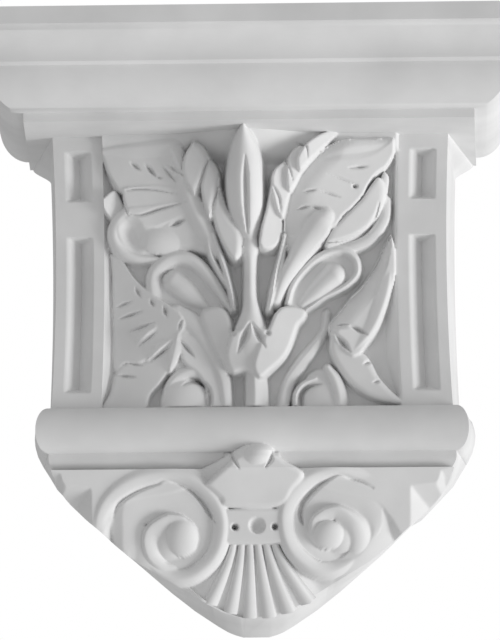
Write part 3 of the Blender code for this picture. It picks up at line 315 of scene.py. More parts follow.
husks = {
    "slabs": alike([
        (11.5, (42, -1), (45, 1), (38, 8), (31, 15), (26, 20), (25, 14), (29, 7), (36, 1.5)),
        (12.0, (26.5, 7), (29.5, 9), (29, 15), (26, 22), (21, 30), (19.5, 24), (20.5, 14), (23.5, 9)),
        (12.0, (18.5, 14.5), (21.5, 19), (22, 26), (20, 34), (17.5, 43), (14, 38), (12, 28), (13, 20)),
    ], lean=(-0.5, 0), soft=(0.6, 1.2)) + alike([
        (12.5, (-27, 4.5), (-23, 7), (-19.5, 13), (-21, 19), (-25, 28), (-28, 31), (-33, 20), (-32, 11)),
        (13.2, (-19, 13.5), (-16, 18), (-14.8, 24), (-16, 32), (-18, 41), (-20.5, 42), (-24, 28), (-22.5, 19)),
    ], lean=(0.12, 0), soft=(0.8, 1.5), flank=(0.95, -0.2, 2.2, 2.5)) + [
        dict(high=11.5, lean=(-0.45, -0.03), soft=(0.6, 1.2), outline=[
            (11.5, 26), (15, 32), (16, 40), (17, 46), (15.5, 54), (11, 58), (6, 57), (6.5, 48), (9.5, 37)]),
        dict(high=12.2, lean=(0.08, 0), soft=(0.8, 1.5), flank=(0.95, -0.3, 2.5, 2.5), outline=[
            (-14.5, 27), (-12, 36), (-7.5, 44), (-3, 50), (-3.5, 60), (-8, 63), (-14, 54), (-18, 42), (-17, 33)]),
    ],
    "stems": [
        dict(falls=(1.2, 1.2), knots=[
            (-21, 52, 1, 1, 9), (-19.5, 60, 1.1, 1.1, 8), (-15.5, 68, 1.1, 1.1, 7), (-11, 75, 1, 1, 6.5)]),
        dict(falls=(1.2, 2.2), knots=[
            (-18.5, 50, 1.2, 1.3, 9.5), (-14.5, 61, 1.3, 1.3, 9), (-11.5, 70, 1.2, 1.3, 8.5), (-9, 80, 1.1, 1.2, 8),
            (-7.8, 87, 0.8, 0.8, 7)]),
        dict(falls=(2.2, 2.2), knots=[
            (18.3, 51, 0.9, 1.2, 10.5), (16.3, 62, 1.5, 1.5, 10), (13.2, 74, 1.7, 1.8, 9.5), (10, 88, 1.3, 1.8, 8)]),
    ],
    "creases": [[(-33.5, 18, 0.4), (-32.3, 11, 0.8), (-30.3, 6.5, 0.8), (-27.8, 3.3, 0.4)],
                [(-18.5, 13, 0.4), (-21.6, 18, 0.9), (-24, 26, 0.8), (-24.6, 31, 0.3)],
                [(-15.2, 23, 0.3), (-16, 30, 0.8), (-18, 36, 0.8), (-18.3, 41, 0.3)],
                [(24, 5, 0.3), (27.5, 6.5, 0.7), (29.5, 9, 0.7), (29.7, 14, 0.3)],
                [(16, 12.5, 0.3), (18.5, 14, 0.7), (20.5, 18, 0.8), (22.5, 25, 0.3)],
                [(11.3, 26, 0.3), (13.5, 29, 0.8), (15.7, 34, 0.9), (16.2, 41, 0.3)],
                [(19.3, 51, 0.4), (17.6, 58, 1.1), (15, 68, 1.1), (12.5, 79, 0.4)]],
}
bud = {
    "shut": dict(falls=(5.5, 5.5), power=2.2, knots=[
        (-2, -1.5, 0.4, 0.5, 29), (-1.8, 5, 4.6, 5, 27), (-1.6, 14, 7.2, 7.6, 25), (-1.4, 25, 8, 9.2, 22),
        (-1, 37, 7.8, 8.6, 18), (-0.3, 47, 5.6, 6, 14.5), (0.8, 54, 3.2, 3.6, 11.5)]),
    "groove": [(-1.2, 14, 0.3), (-1.2, 24, 1.9), (-1.0, 38, 1.9), (-0.5, 50, 0.8)],
    "stem": dict(falls=(2.8, 2.8), power=2.2, knots=[
        (0.8, 52, 3, 3.2, 11.5), (0.4, 58, 4, 4.8, 11.5), (0.6, 64, 2.9, 3.2, 11), (0.6, 80, 2.9, 3.4, 10),
        (1, 88, 4, 4.5, 10.5), (1, 97, 7, 8, 10.5), (1, 106, 9, 10, 10)]),
}
rings = {
    "dishes": [
        dict(high=-1.2, lean=(0.03, 0), soft=(0.5, 1), outline=[
            (-49, 77), (-50, 69), (-45, 62), (-36, 60), (-27, 62), (-18, 71), (-11, 83), (-14, 89), (-26, 90),
            (-38, 88), (-45, 84)]),
        dict(high=-0.5, lean=(-0.04, -0.02), soft=(0.5, 1), outline=[
            (19, 84), (22, 75), (28, 67), (37, 60), (47, 58), (54, 62), (55.5, 69), (52, 74), (42, 80), (33, 86),
            (26, 89)]),
    ],
    "eggs": [
        dict(falls=(5, 4.2), power=2.4, knots=[
            (-38.5, 71.8, 5.5, 5.8, 4.4), (-33, 76, 5.5, 6, 4), (-27, 81, 4.5, 5, 2.4), (-21, 86, 2.5, 2.5, 0.6)]),
        dict(falls=(6, 6), power=2.6, knots=[
            (43, 70, 6.4, 6.4, 6), (37, 75, 6, 6, 4.6), (32, 79.5, 5.4, 5.4, 3), (27, 84, 3.5, 3.5, 1.5)]),
    ],
    "rims": [
        dict(falls=(2.5, 2), power=1.8, knots=[
            (-46, 86, 2, 2.5, -1), (-49.5, 77, 3, 4, 1.4), (-49, 68, 3, 4, 3), (-43, 62, 3, 4, 4.6),
            (-36, 60, 3, 3.5, 5.5), (-28, 62.5, 3, 3.5, 5.5), (-20.5, 70, 2.8, 3, 5), (-14, 80, 2.5, 2, 4),
            (-9.5, 88, 1.5, 1, 3)]),
        dict(falls=(1.8, 1.4), power=1.6, knots=[
            (19.5, 84, 1.5, 1, 5), (22.5, 75, 1.8, 1.2, 5), (29, 67, 2, 1.3, 5), (37.5, 60.5, 2.4, 1.3, 4.5),
            (47, 58, 2.8, 1.3, 4.2), (53.5, 61.5, 2.2, 1.3, 3.8), (55.3, 67.5, 1.6, 1.3, 3.5),
            (53, 72, 1.5, 1.3, 3), (47, 76.5, 1.5, 1.2, 2.5), (38, 81, 1, 1, 2), (29, 87, 0.8, 0.8, 1.5)]),
    ],
}
calyx = {
    "slabs": [
        dict(high=7, lean=(0.16, 0.05), soft=(1.2, 2.2), outline=[
            (-24, 87), (-17, 85.5), (-12, 88), (-9.3, 94), (-9, 101), (-5, 108), (-4, 116), (-10, 118.5),
            (-14, 113), (-18.5, 106), (-22.5, 98), (-25, 91)]),
        dict(high=8.4, lean=(-0.28, -0.04), soft=(0.8, 1.6), outline=[
            (13, 90), (17, 86.5), (24, 86.5), (28.5, 88.5), (27.5, 92), (24.5, 95), (22.5, 100), (20, 106.5),
            (16.5, 112), (10, 118), (5, 121.5), (2, 116), (5, 106), (9.5, 98)]),
        dict(high=9.6, lean=(-0.02, -0.08), soft=(1, 2), outline=[
            (-9, 99), (-4, 97), (1, 93), (6, 97), (10, 99), (14, 109), (6, 121), (-2, 118), (-9, 118.5), (-12, 110)]),
    ],
    "notches": [[(0.3, 94.5, 0.6), (-2.5, 101.5, 2.2), (-6, 109.5, 0.4)],
                [(1.2, 94.5, 0.6), (4.5, 100.5, 2.0), (8.0, 107, 0.4)]],
    "stalk": dict(falls=(4, 3), power=1.2, knots=[
        (1.5, 113, 4.5, 3.5, 7.5), (2.5, 124, 6, 4.5, 5.5), (2.5, 138, 6.5, 4.8, 4)]),
    "dots": [((-8.3, 99.7), 1.4), ((9.4, 99.8), 1.3), ((-10.3, 119), 1.5)],
}
lowerLeft = {
    "slabs": [
        dict(high=3, lean=(-0.05, -0.02), soft=(0.8, 1.5), outline=[
            (-36, 102), (-31, 99), (-24, 104), (-18, 112), (-13.5, 124), (-11.5, 138), (-20, 138), (-22, 126),
            (-27, 118), (-34, 112)]),
        dict(high=-0.6, lean=(0.14, 0.02), soft=(0.5, 1.5), outline=[
            (-39, 104), (-36.5, 108), (-40, 116), (-45, 123), (-50, 129), (-54, 138), (-74, 138), (-70, 127),
            (-68, 118), (-63, 113), (-52, 112), (-45, 108)]),
        dict(high=0, lean=(0.24, 0), soft=(0.4, 1), outline=[
            (-71.8, 57), (-66, 60), (-57.5, 71.5), (-47.5, 80), (-36, 88), (-33, 95), (-37, 101), (-41, 105),
            (-51, 110.5), (-57, 113), (-63, 112.5), (-68.5, 116), (-69.5, 97), (-71, 82)]),
    ],
    "blades": [
        dict(falls=(1, 4.5), knots=[(-36.5, 99, 2, 2, 5), (-38, 108, 3, 3.8, 5), (-40.5, 116, 2, 2, 2.5)]),
        dict(falls=(1.5, 1.8), power=2, knots=[
            (-37, 88, 4, 4, 3.5), (-30, 94, 6, 4, 4), (-24, 102, 6, 3, 4.5), (-18.5, 111, 5, 2.2, 4.5),
            (-14, 122, 4, 2, 4), (-12, 137, 3, 2, 3)]),
        dict(falls=(1.6, 2.6), knots=[(-58, 104, 1, 0.3, -0.4), (-53, 99.8, 3.5, 0.9, 2.7), (-48, 96, 2.5, 0.5, 2.6)]),
        dict(falls=(1.6, 3), knots=[
            (-51.5, 111.5, 1, 0.3, 1.2), (-46, 107.3, 3.5, 0.9, 4.2), (-40, 102.5, 2.5, 0.5, 4.4)]),
    ],
    "fills": [dict(at=(-34, 99.5), size=(5, 4.5), top=4.0, rim=1.5, power=1.0),
              dict(at=(-36, 114), size=(6, 7), top=0.0, rim=-4.0, power=1.0)],
    "cuts": [((-58.3, 74.5), (-55.5, 80), 1.1), ((-50.5, 81), (-48.5, 85), 1.2), ((-43.5, 84.5), (-42.0, 90.5), 1.3),
             ((-34, 91.5), (-36, 97.5), 0.9), ((-68, 84.5), (-60, 81.5), 0.9), ((-67, 90.5), (-54, 86.5), 1.0),
             ((-61, 97), (-48, 92.5), 0.9), ((-56, 104.3), (-46.5, 97), 0.8), ((-50, 112.3), (-40, 104), 0.8),
             ((-62, 112.5), (-54, 114), 0.8), ((-68, 118.5), (-57, 119.8), 1.0), ((-36, 101.5), (-27.5, 111), 1.3)],
    "crease": [(-71.7, 57, 0.4), (-71, 66, 0.9), (-70.5, 80, 0.8), (-69.6, 92, 0.3)],
}
lowerRight = {
    "slabs": [
        dict(high=1.8, lean=(0, -0.06), soft=(1.5, 3), outline=[
            (41, 100), (45, 99), (52, 106), (58, 110), (61, 114), (64.5, 121), (71, 128.5), (77, 134), (69, 133.5),
            (60, 131), (51, 125), (44, 116), (40.5, 108)]),
        dict(high=3.6, lean=(-0.1, -0.02), soft=(0.6, 1.2), flank=(-0.8, -0.6, 4, 9), outline=[
            (72.5, 50), (74.5, 58), (74.3, 70), (71.8, 79), (68.5, 86.5), (65.5, 93.5), (61, 102.5), (52, 111),
            (42, 101), (41, 95), (46, 88), (52, 81), (58, 75), (65, 65), (69, 56)]),
    ],
    "blades": [
        dict(falls=(2.5, 0.8), knots=[
            (72.5, 52, 1, 1.5, -1), (72.3, 64, 1.5, 4, 2), (70.5, 77, 1.6, 5, 4), (66, 90, 1.8, 5, 4.5),
            (61, 99, 2, 4, 4.5), (53, 108, 1.5, 3, 4)]),
        dict(falls=(1.5, 2), knots=[
            (39, 88, 2, 1.5, -2), (37.5, 97, 2, 1.5, -1), (32, 105, 3, 2, 0.5), (25, 113, 4, 2, 1),
            (18, 123, 4, 1.5, 1), (14.5, 137, 4, 1.5, 1)]),
    ],
    "cuts": [((44, 95.5), (50, 94.8), 0.9), ((49.5, 94.8), (60, 100.5), 1.4), ((43, 99.5), (51, 109), 1.8),
             ((57, 114.8), (61.5, 112.8), 1.1), ((61.5, 124), (65, 122.8), 0.9)],
}
scrolls = {
    "discs": [dict(at=(-33, 133), size=(12, 13), top=3.4, rim=-4, power=0.35),
              dict(at=(36, 133), size=(12, 17), top=0.8, rim=-4)],
    "bands": [
        dict(falls=(1.5, 1.2), knots=[
            (-42.5, 139, 1.5, 2, -3), (-42.5, 130, 1.8, 2.5, -0.5), (-38.5, 121.5, 2.2, 3, 1.6),
            (-31, 117.3, 2.2, 3, 2.5), (-22, 118.3, 2.2, 2.5, 2)]),
        dict(falls=(1, 0.8), knots=[
            (23, 139, 1.2, 0.8, 2.5), (22.8, 130, 1.2, 0.8, 2.5), (26.5, 124.5, 1.2, 0.8, 2.5),
            (33, 121.5, 1, 0.8, 1.5)]),
        dict(falls=(3.2, 1), knots=[
            (39, 116, 2, 1.5, 2.5), (42.5, 122, 3.2, 2.5, 2.5), (44.5, 130, 3.6, 2.5, 2.2), (44.5, 139, 3.6, 2, 1.5)]),
    ],
    "crescents": [[(-34, 124.8, 0.3), (-29, 122.4, 1.3), (-22.3, 124.5, 1.4), (-20.0, 130, 1.5), (-20.3, 137, 1.2)],
                  [(25.5, 136, 1.2), (26, 129, 1.8), (29.5, 125.5, 1.6), (36, 124, 0.4)]],
}
depths = {  # of each kind of cut, as a share of its half width, but in millimetres for the dots
    "strokes": 3.0, "creases": 3.5, "huskCreases": 3.0, "crescents": 3.0, "valley": 0.25, "budGroove": 2.3,
    "notches": 2.2, "dots": 3.0, "hoodSlits": 2.2, "volute": 0.4,
}
fading = {"foot": 5.0, "side": 2.5, "least": 1.0, "rise": 40.0}  # what nears the panel's foot and sides dies away


def panelRelief(u, v):
    clay = Clay(u, v, panelGround(u, v))
    lay(clay.slab, lowerLeft["slabs"], lowerRight["slabs"])
    lay(clay.blade, lowerLeft["blades"], lowerRight["blades"])
    lay(clay.dome, scrolls["discs"])
    lay(clay.blade, scrolls["bands"])
    cutAll(clay, scrolls["crescents"], depths["crescents"])
    lay(clay.dome, lowerLeft["fills"])
    strokes(clay, lowerLeft["cuts"] + lowerRight["cuts"], depths["strokes"])
    clay.cut(lowerLeft["crease"], depths["creases"])
    lay(clay.slab, rings["dishes"])
    lay(clay.blade, rings["eggs"], rings["rims"])
    lay(clay.slab, upperLeft["slabs"], upperRight["slabs"])
    clay.cut(upperRight["valley"], depths["valley"])
    lay(clay.blade, upperLeft["blades"], upperRight["blades"])
    clay.dome(**upperLeft["mound"])
    lay(clay.hollow, [upperLeft["hollow"], upperRight["pit"]])
    strokes(clay, upperLeft["cuts"] + upperRight["cuts"], depths["strokes"])
    cutAll(clay, upperLeft["creases"] + upperRight["creases"], depths["creases"])
    lay(clay.slab, husks["slabs"])
    lay(clay.blade, husks["stems"])
    cutAll(clay, husks["creases"], depths["huskCreases"])
    clay.blade(**bud["shut"])
    clay.cut(bud["groove"], depths["budGroove"])
    lay(clay.blade, [bud["stem"], calyx["stalk"]])
    lay(clay.slab, calyx["slabs"])
    cutAll(clay, calyx["notches"], depths["notches"])
    for at, radius in calyx["dots"]:
        clay.hollow(at, (radius, radius), depths["dots"])
    foot = np.clip((panelUnits[1] - v) / fading["foot"], 0, 1)
    side = np.clip((panelUnits[0] / 2 - np.abs(u)) / fading["side"], 0, 1)
    return np.minimum(clay.height, fading["least"] + fading["rise"] * np.minimum(foot, side))


# The carved pendant

volutes = {
    "falls": {"apron": (8.5, 0.5), "channel": (0.4, 1.0), "rim": (3.0, 2.2)},  # outwards and inwards
    "powers": {"apron": 1.3, "channel": 2.0, "rim": 1.7, "coil": 2.2}, "coilInside": 2.6, "eyeTop": 8.4, "eyeRim": 2.4,
    # each turn of a spiral band: degrees, radius, width outwards and inwards, height; the right volute is mirrored
    "channel": [(245, 22.5, 7.5, 9, 2.4), (270, 20, 7.5, 8, 2.2), (300, 17.5, 7, 6, 1.8), (330, 16, 6, 5, 1.4),
                (360, 14.5, 5, 5, 1.2), (400, 13.5, 5, 5, 1), (450, 13.5, 4, 5, 0.6), (490, 15, 3, 5, 0)],
    "rim": [(261, 33, 5, 4.5, 5), (279, 31.4, 4.5, 4, 5.2), (295, 30, 4, 4.6, 5.4), (313, 28.2, 4, 5, 5.5),
            (331, 26.4, 3.8, 5, 5.5), (350, 24, 3.6, 5, 5.4), (373, 22, 3.4, 5, 5.2), (397, 20.7, 3.4, 5, 4.8),
            (428, 20.4, 3.2, 5, 4.2), (457, 19.7, 3, 5, 3.2), (493, 18.4, 3, 4, 2.0), (520, 17, 3, 3, 1)],
    "left": {
        "middle": (-37.5, 35.0), "side": 1, "size": 1.0, "eye": (3.2, -1.4), "eyeSize": (8.2, 9.8), "coilFall": 4.2,
        "bed": dict(at=(-40.5, 35.5), size=(10.5, 11.5), top=4.8, rim=-2.5, power=0.8),
        "apron": [(95, 17, 12, 3, 0.6), (120, 18, 16, 4, 1.6), (145, 18.5, 19, 5, 2.2), (170, 18.5, 18, 5, 2.5),
                  (190, 19, 12, 5, 2.5)],
        "channelLead": [(176, 23.5, 7.5, 8, 2.4), (195, 24.5, 8, 8, 2.5), (215, 25, 8, 9, 2.5)],
        "rimLead": [(168, 38, 3, 6, 0.6), (184, 39.5, 3, 7.5, 2.6), (201, 40, 3, 7.5, 3.8), (218, 38.5, 4, 7, 4.2),
                    (238, 35.6, 5, 6, 4.6)],
        "soft": [(150, 29, 2), (170, 30.5, 4), (190, 31.5, 5), (206, 32.6, 3.5), (218, 32.5, 1.5)],
        "coil": [(95, 14.5, 4, 2.5, 1.6), (118, 15.2, 4, 4, 2.8), (145, 15.6, 3.0, 6, 4.0), (171, 15.4, 2.2, 6.6, 4.8),
                 (193, 15.0, 1.9, 7.6, 5.3), (212, 14.0, 1.5, 8.2, 5.6), (233, 12.6, 1.5, 7.4, 5.9),
                 (256, 12.2, 1.5, 7.2, 6.0), (289, 11.2, 1.5, 6, 6.0), (323, 9.9, 1.4, 5, 5.6),
                 (351, 9.7, 1.4, 4, 5.2), (375, 9.8, 1.4, 4, 4.8), (395, 9.7, 1.3, 4, 4.4), (425, 8.5, 1.3, 3, 4.0)],
        "groove": [(200, 32.6, 0.5), (211, 33.4, 1.0), (219, 32.4, 1.2), (231, 30.7, 1.2), (242, 29.6, 1.1),
                   (253, 29.1, 0.9), (264, 29.6, 0.6), (285, 26, 1.3), (298, 24.2, 1.7), (310, 22.6, 1.7),
                   (324, 21.5, 1.5), (338, 21.6, 0.4)], "grooveDeep": 2.0,
    },
    "right": {
        "middle": (38.5, 32.5), "side": -1, "size": 0.96, "eye": (-0.6, 0.6), "eyeSize": (8.2, 7.4), "coilFall": 4.6,
        "bed": dict(at=(45.0, 33.5), size=(10.5, 10.5), top=4.8, rim=-2.5, power=0.8),
        "apron": [(95, 17, 12, 3, 0.6), (120, 18, 16, 4, 1.6), (145, 19.5, 18, 5, 2.2), (168, 21.5, 16, 3, 2.3),
                  (192, 26.5, 13, 4, 2.4), (210, 29.5, 11, 5, 2.2), (226, 31, 9, 5, 1.4)],
        "channelLead": [(168, 21.4, 0.5, 0.5, 2.2), (180, 23, 2.0, 2.0, 2.5), (192, 24, 3.5, 4, 2.6),
                        (210, 25, 5.5, 7, 2.6), (225, 25, 7, 9, 2.5)],
        "rimLead": [(200, 38.5, 1, 5, 0.6), (212, 38, 2, 5.5, 1.4), (224, 37, 4, 6, 2.1), (238, 35.6, 5, 6, 2.9)],
        "coil": [(116, 17, 5, 3, 0.0), (135, 16.5, 6, 4, 1.4), (150, 15.8, 7, 4.5, 3.4), (170, 14.8, 7.5, 5, 5.2),
                 (193, 13.8, 6.6, 5.5, 6.0), (215, 13.4, 4.6, 6, 6.1), (238, 13.6, 2.6, 6.4, 6.1),
                 (256, 13.6, 1.8, 6.2, 6.1), (279, 12.2, 1.7, 5.6, 6.0), (302, 11.2, 1.7, 5, 5.8),
                 (321, 10.8, 1.7, 4.4, 5.5), (346, 9.4, 1.6, 4, 5.2), (370, 8.8, 1.5, 4, 4.8), (397, 8.0, 1.4, 4, 4.4)],
        "groove": [(226, 32.5, 0.4), (238, 31.3, 0.8), (248, 30.5, 0.9), (261, 30.5, 0.6), (276, 26.7, 1.5),
                   (290, 23.8, 1.9), (307, 21.3, 2.0), (321, 18.8, 1.8), (333, 16.1, 1.4), (342, 13.8, 0.4)],
        "grooveDeep": 2.6,
    },
}
hood = {
    "slabs": [
        dict(high=5, lean=(0.28, -0.05), soft=(0.8, 1.5), outline=[
            (-31, 2.5), (-17.5, -3), (-5, -10), (0, -11), (-3, -5), (-13, 2), (-21.5, 8.5)]),
        dict(high=7.4, lean=(0, -0.10), soft=(1.5, 2.5), outline=[
            (-22.5, 8), (-14, 0.5), (-6, -6.5), (1, -10), (9.5, -9), (17, -3), (26, 3), (21, 11), (14, 19),
            (-12, 19), (-15, 15)]),
    ],
    "knob": dict(at=(3.5, -6.5), size=(8.5, 6.5), top=11.0, rim=3),
    "slits": [[(-10, -8, 0.4), (-8, -4, 1.2), (-5.5, 0.5, 0.4)], [(10.8, -8, 0.4), (10, -4, 1.3), (7.5, 0, 0.4)]],
}
strap = {
    "slab": dict(high=4, lean=(0, -0.04), soft=(0.6, 1.2), outline=[
        (-12.5, 20.5), (-11.5, 20.2), (13, 20.2), (14, 20.5), (15, 36), (14.5, 37), (-12, 37), (-12.5, 36)]),
    "holes": [dict(at=(2.8, 28.3), size=(4.0, 3.9), deep=4.4, power=0.6),
              dict(at=(-8.1, 29), size=(1.9, 1.7), deep=8.0),
              dict(at=(11.7, 28.9), size=(1.8, 1.8), deep=8.0)],
}
# the bed of the shell's ribs: a fan sunk below the plate, with a curved end
shell = {"focus": 20, "spread": 0.56, "level": 0.8, "top": 36.8, "end": 75.2, "shorter": 0.0134, "middle": 3.6,
         "recess": 2.4, "fade": 9.0}
ears = {
    "top": 2.6, "low": -6.0, "start": 78, "wide": 12.0, "fall": 10.0,
    # three leaves, each laid over the one outside it, that fall away downwards
    "leaves": [
        dict(high=2.6, soft=(0.2, 0.6), edge=1.2, outline=[
            (-103, -4), (-75, -4), (-45, -4), (-26, 1), (-24, 6), (-40, 12), (-60, 16), (-68, 24), (-74, 33),
            (-78.5, 30), (-79, 20), (-79, 9), (-82, 7.8), (-88.3, 6.8), (-89, 4.3), (-95, 1.2), (-99, -1)]),
        dict(high=-5.5, lean=(0.1, -0.95), soft=(0.2, 0.6), edge=1.2, outline=[
            (-72, 4), (-89, 4.3), (-92, 9.5), (-95.5, 15.5), (-98, 20), (-84, 34), (-72, 30)]),
        dict(high=-7, lean=(0.25, -0.8), soft=(0.2, 0.6), edge=1.2, outline=[
            (-84, -3), (-108, -3), (-109, 8), (-104, 18), (-90, 30), (-84, 26)]),
    ],
}


def around(volute, turns):  # knots of a spiral band, from its turns
    line = []
    for degrees, radius, *rest in turns:
        angle = math.radians(degrees)
        radius *= volute["size"]
        line.append((volute["middle"][0] + volute["side"] * radius * math.cos(angle),
                     volute["middle"][1] + radius * math.sin(angle), *rest))
    return line


def coiled(clay, volute, turns, falls, power):  # the mirrored volute swaps left and right
    rows = around(volute, turns)
    if volute["side"] < 0:
        rows = [(u, v, inwards, outwards, crest) for u, v, outwards, inwards, crest in rows]
        falls = falls[::-1]
    clay.blade(rows, falls, power)


def carveVolute(clay, volute):
    falls, powers = volutes["falls"], volutes["powers"]
    coiled(clay, volute, volute["apron"], falls["apron"], powers["apron"])
    for band in ("channel", "rim"):
        coiled(clay, volute, volute[band + "Lead"] + volutes[band], falls[band], powers[band])
    if "soft" in volute:
        clay.cut(around(volute, volute["soft"]), depths["volute"])
    coiled(clay, volute, volute["coil"], (volute["coilFall"], volutes["coilInside"]), powers["coil"])
    clay.dome(**volute["bed"])
    eye = (volute["middle"][0] + volute["eye"][0], volute["middle"][1] + volute["eye"][1])
    clay.dome(eye, volute["eyeSize"], volutes["eyeTop"], volutes["eyeRim"])
    clay.cut(around(volute, volute["groove"]), volute["grooveDeep"])


def mirrored(slab):
    lean = slab.get("lean", (0, 0))
    return {**slab, "outline": [(-a, b) for a, b in slab["outline"]], "lean": (-lean[0], lean[1])}


def carveHood(clay):
    lay(clay.slab, hood["slabs"])
    clay.dome(**hood["knob"])
    cutAll(clay, hood["slits"], depths["hoodSlits"])


def pendantRelief(u, v):
    clay = Clay(u, v, ears["low"] - ears["fall"] * np.clip((np.abs(u) - ears["start"]) / ears["wide"], 0, 1))
    lay(clay.slab, ears["leaves"], map(mirrored, ears["leaves"]))
    clay.height = np.minimum(clay.height, ears["top"])
    carveHood(clay)
    clay.slab(**strap["slab"])
    across = np.abs(u) / np.maximum((v - shell["focus"]) * shell["spread"], 1)
    level = shell["level"] - shell["fade"] * np.clip(across - 1, 0, None)
    end = shell["end"] - shell["shorter"] * (u - shell["middle"])**2
    level = np.where(v < end, level - shell["recess"], level)
    clay.height = np.where(v > shell["top"], np.maximum(clay.height, level), clay.height)
    carveVolute(clay, volutes["left"])
    carveVolute(clay, volutes["right"])
    lay(clay.hollow, strap["holes"])
    return clay.height


def knobRelief(u, v):  # the part of the hood that climbs on to the roll
    clay = Clay(u, v, np.full(u.shape, -30.0))  # a ground too low to show
    carveHood(clay)
    return clay.height


def soften(sheet, share=0.25):  # the slight loss of edge that comes from casting
    for axis in (0, 1):
        before, after = np.roll(sheet, 1, axis), np.roll(sheet, -1, axis)
        ends = [slice(None), slice(None)]
        for end, near in ((0, before), (-1, after)):
            ends[axis] = end
            near[tuple(ends)] = sheet[tuple(ends)]
        sheet = sheet * (1 - share) + (before + after) * share / 2
    return sheet


# Meshes: a sheet is rows of points from the top down, each row from left to right

def evenSteps(start, end, size):
    return np.linspace(start, end, max(2, int(round(abs(end - start) / size)) + 1))


def snap(values, wanted):  # moves the nearest value on to each wanted one
    values = np.array(values)
    for one in wanted:
        values[np.argmin(np.abs(values - one))] = one
    return np.sort(values)


weldGap = 0.00001  # metres


def closedPiece(name, rows, material, sharp=55):  # rows of points round the front, closed by a top, foot and back
    rows = np.asarray(rows, float) * mm
    count, wide = rows.shape[:2]
    points = rows.reshape(-1, 3)
    index = np.arange(count * wide).reshape(count, wide)
    quads = np.stack([index[:-1, :-1], index[1:, :-1], index[1:, 1:], index[:-1, 1:]], -1).reshape(-1, 4)
    mesh = bmesh.new()
    verts = [mesh.verts.new(p) for p in points]
    for quad in quads:
        mesh.faces.new([verts[i] for i in quad])
    for cap in (index[0], index[-1][::-1]):
        mesh.faces.new([verts[i] for i in cap])
    mesh.faces.new([verts[i] for i in list(index[::-1, 0]) + list(index[:, -1])])
    bmesh.ops.remove_doubles(mesh, verts=mesh.verts, dist=weldGap)
    bmesh.ops.recalc_face_normals(mesh, faces=mesh.faces)
    data = bpy.data.meshes.new(name)
    mesh.to_mesh(data)
    mesh.free()
    data.materials.append(material)
    data.shade_smooth()
    data.set_sharp_from_angle(angle=math.radians(sharp))
    piece = bpy.data.objects.new(name, data)
    bpy.context.scene.collection.objects.link(piece)
    print(name, "has", sum(len(p.vertices) - 2 for p in data.polygons), "triangles")
    return piece


def addRow(rows, share, z, half, depth, wallHalf, wallZ=None):
    wallZ = z if wallZ is None else wallZ
    depth = np.broadcast_to(depth, share.shape)
    front = [(half * s, -d, z) for s, d in zip(share, depth)]
    rows.append([(-wallHalf, 0.0, wallZ)] + front + [(wallHalf, 0.0, wallZ)])


def waist(z):  # 0 at both ends of the body and 1 half way down
    share = (soffitZ - z) / body["height"]
    return 4 * share * (1 - share)


def sinkings(x, z):  # two V shaped sinkings in each pilaster, their ends steeply hipped
    middle = body["width"] / 2 - body["pilaster"] / 2
    across = body["sinkingWidth"] / 2 - np.abs(np.abs(x) - middle)
    top = soffitZ - body["sinkingTop"]
    slope = body["sinkingDepth"] / (body["sinkingWidth"] / 2)
    deep = np.zeros(x.shape)
    for start, long in ((top, body["sinkingShort"]),
                        (top - body["sinkingShort"] - body["sinkingGap"], body["sinkingLong"])):
        fromEnd = body["sinkingHip"] * np.minimum(start - z, z - start + long)
        deep = np.maximum(deep, slope * np.minimum(across, fromEnd))
    return deep


def buildCornice(material):
    share = np.linspace(-1, 1, 3)
    half = body["width"] / 2 + cornice["soffitSide"]
    depth = body["depth"] + cornice["soffitFront"]
    profile = [(cornice["ovoloOut"] + cornice["arrisOut"] + cornice["cavettoOut"], topZ)]
    z = topZ - cornice["fasciaHeight"]
    out = cornice["ovoloOut"] + cornice["arrisOut"]
    for angle in np.linspace(0, math.pi / 2, cornice["arcPoints"]):
        profile.append((out + cornice["cavettoOut"] * (1 - math.sin(angle)),
                        z - cornice["cavettoHeight"] * (1 - math.cos(angle))))
    z -= cornice["cavettoHeight"] + cornice["arrisHeight"]
    profile.append((cornice["ovoloOut"], z))
    for angle in np.linspace(0, math.pi / 2, cornice["arcPoints"])[1:]:
        profile.append((cornice["quirk"] + (cornice["ovoloOut"] - cornice["quirk"]) * math.cos(angle),
                        z - cornice["ovoloHeight"] * math.sin(angle)))
    profile.append((0.0, z - cornice["ovoloHeight"]))
    profile.append((0.0, soffitZ))
    rows = []
    for out, z in profile:
        addRow(rows, share, z, half + out, depth + out, half + out + cornice["flare"])
    return closedPiece("corbelCornice", rows, material, sharp=28)


def buildBody(material):
    half = body["width"] / 2
    middle = half - body["pilaster"] / 2
    key = [middle - body["sinkingWidth"] / 2, middle, middle + body["sinkingWidth"] / 2]
    pilaster = snap(evenSteps(panelHalf, half, body["pilasterGrid"]), key)
    x = np.concatenate([-pilaster[::-1][:-1], evenSteps(-panelHalf, panelHalf, body["grid"]), pilaster[1:]])
    z = evenSteps(soffitZ, rollTopZ, body["grid"])
    xs, zs = np.meshgrid(x, z)
    carved = soften(panelRelief(xs * panelUnits[0] / 2 / panelHalf + body["shift"],
                                (soffitZ - zs) * panelUnits[1] / body["height"]))
    front = body["depth"] - body["hollow"] * waist(zs) - sinkings(xs, zs)
    front = np.where(np.abs(xs) < panelHalf, front + carved, front)
    rows = []
    for level, depth in zip(z, front):
        wide = half - body["waist"] * waist(level)
        near = np.clip(1 - (soffitZ - level) / body["sweep"][1], 0, 1)
        addRow(rows, x / half, level, wide, depth, wide + body["flare"] + body["sweep"][0] * near**2 * (3 - 2 * near))
    return closedPiece("corbelBody", rows, material)


def pendantFace(z):
    share = np.clip((pendantTopZ - z) / pendant["height"], 0, 1)
    return pendant["depth"] + (pendant["tipDepth"] - pendant["depth"]) * ((1 - pendant["bow"]) * share
                                                                          + pendant["bow"] * share**2)


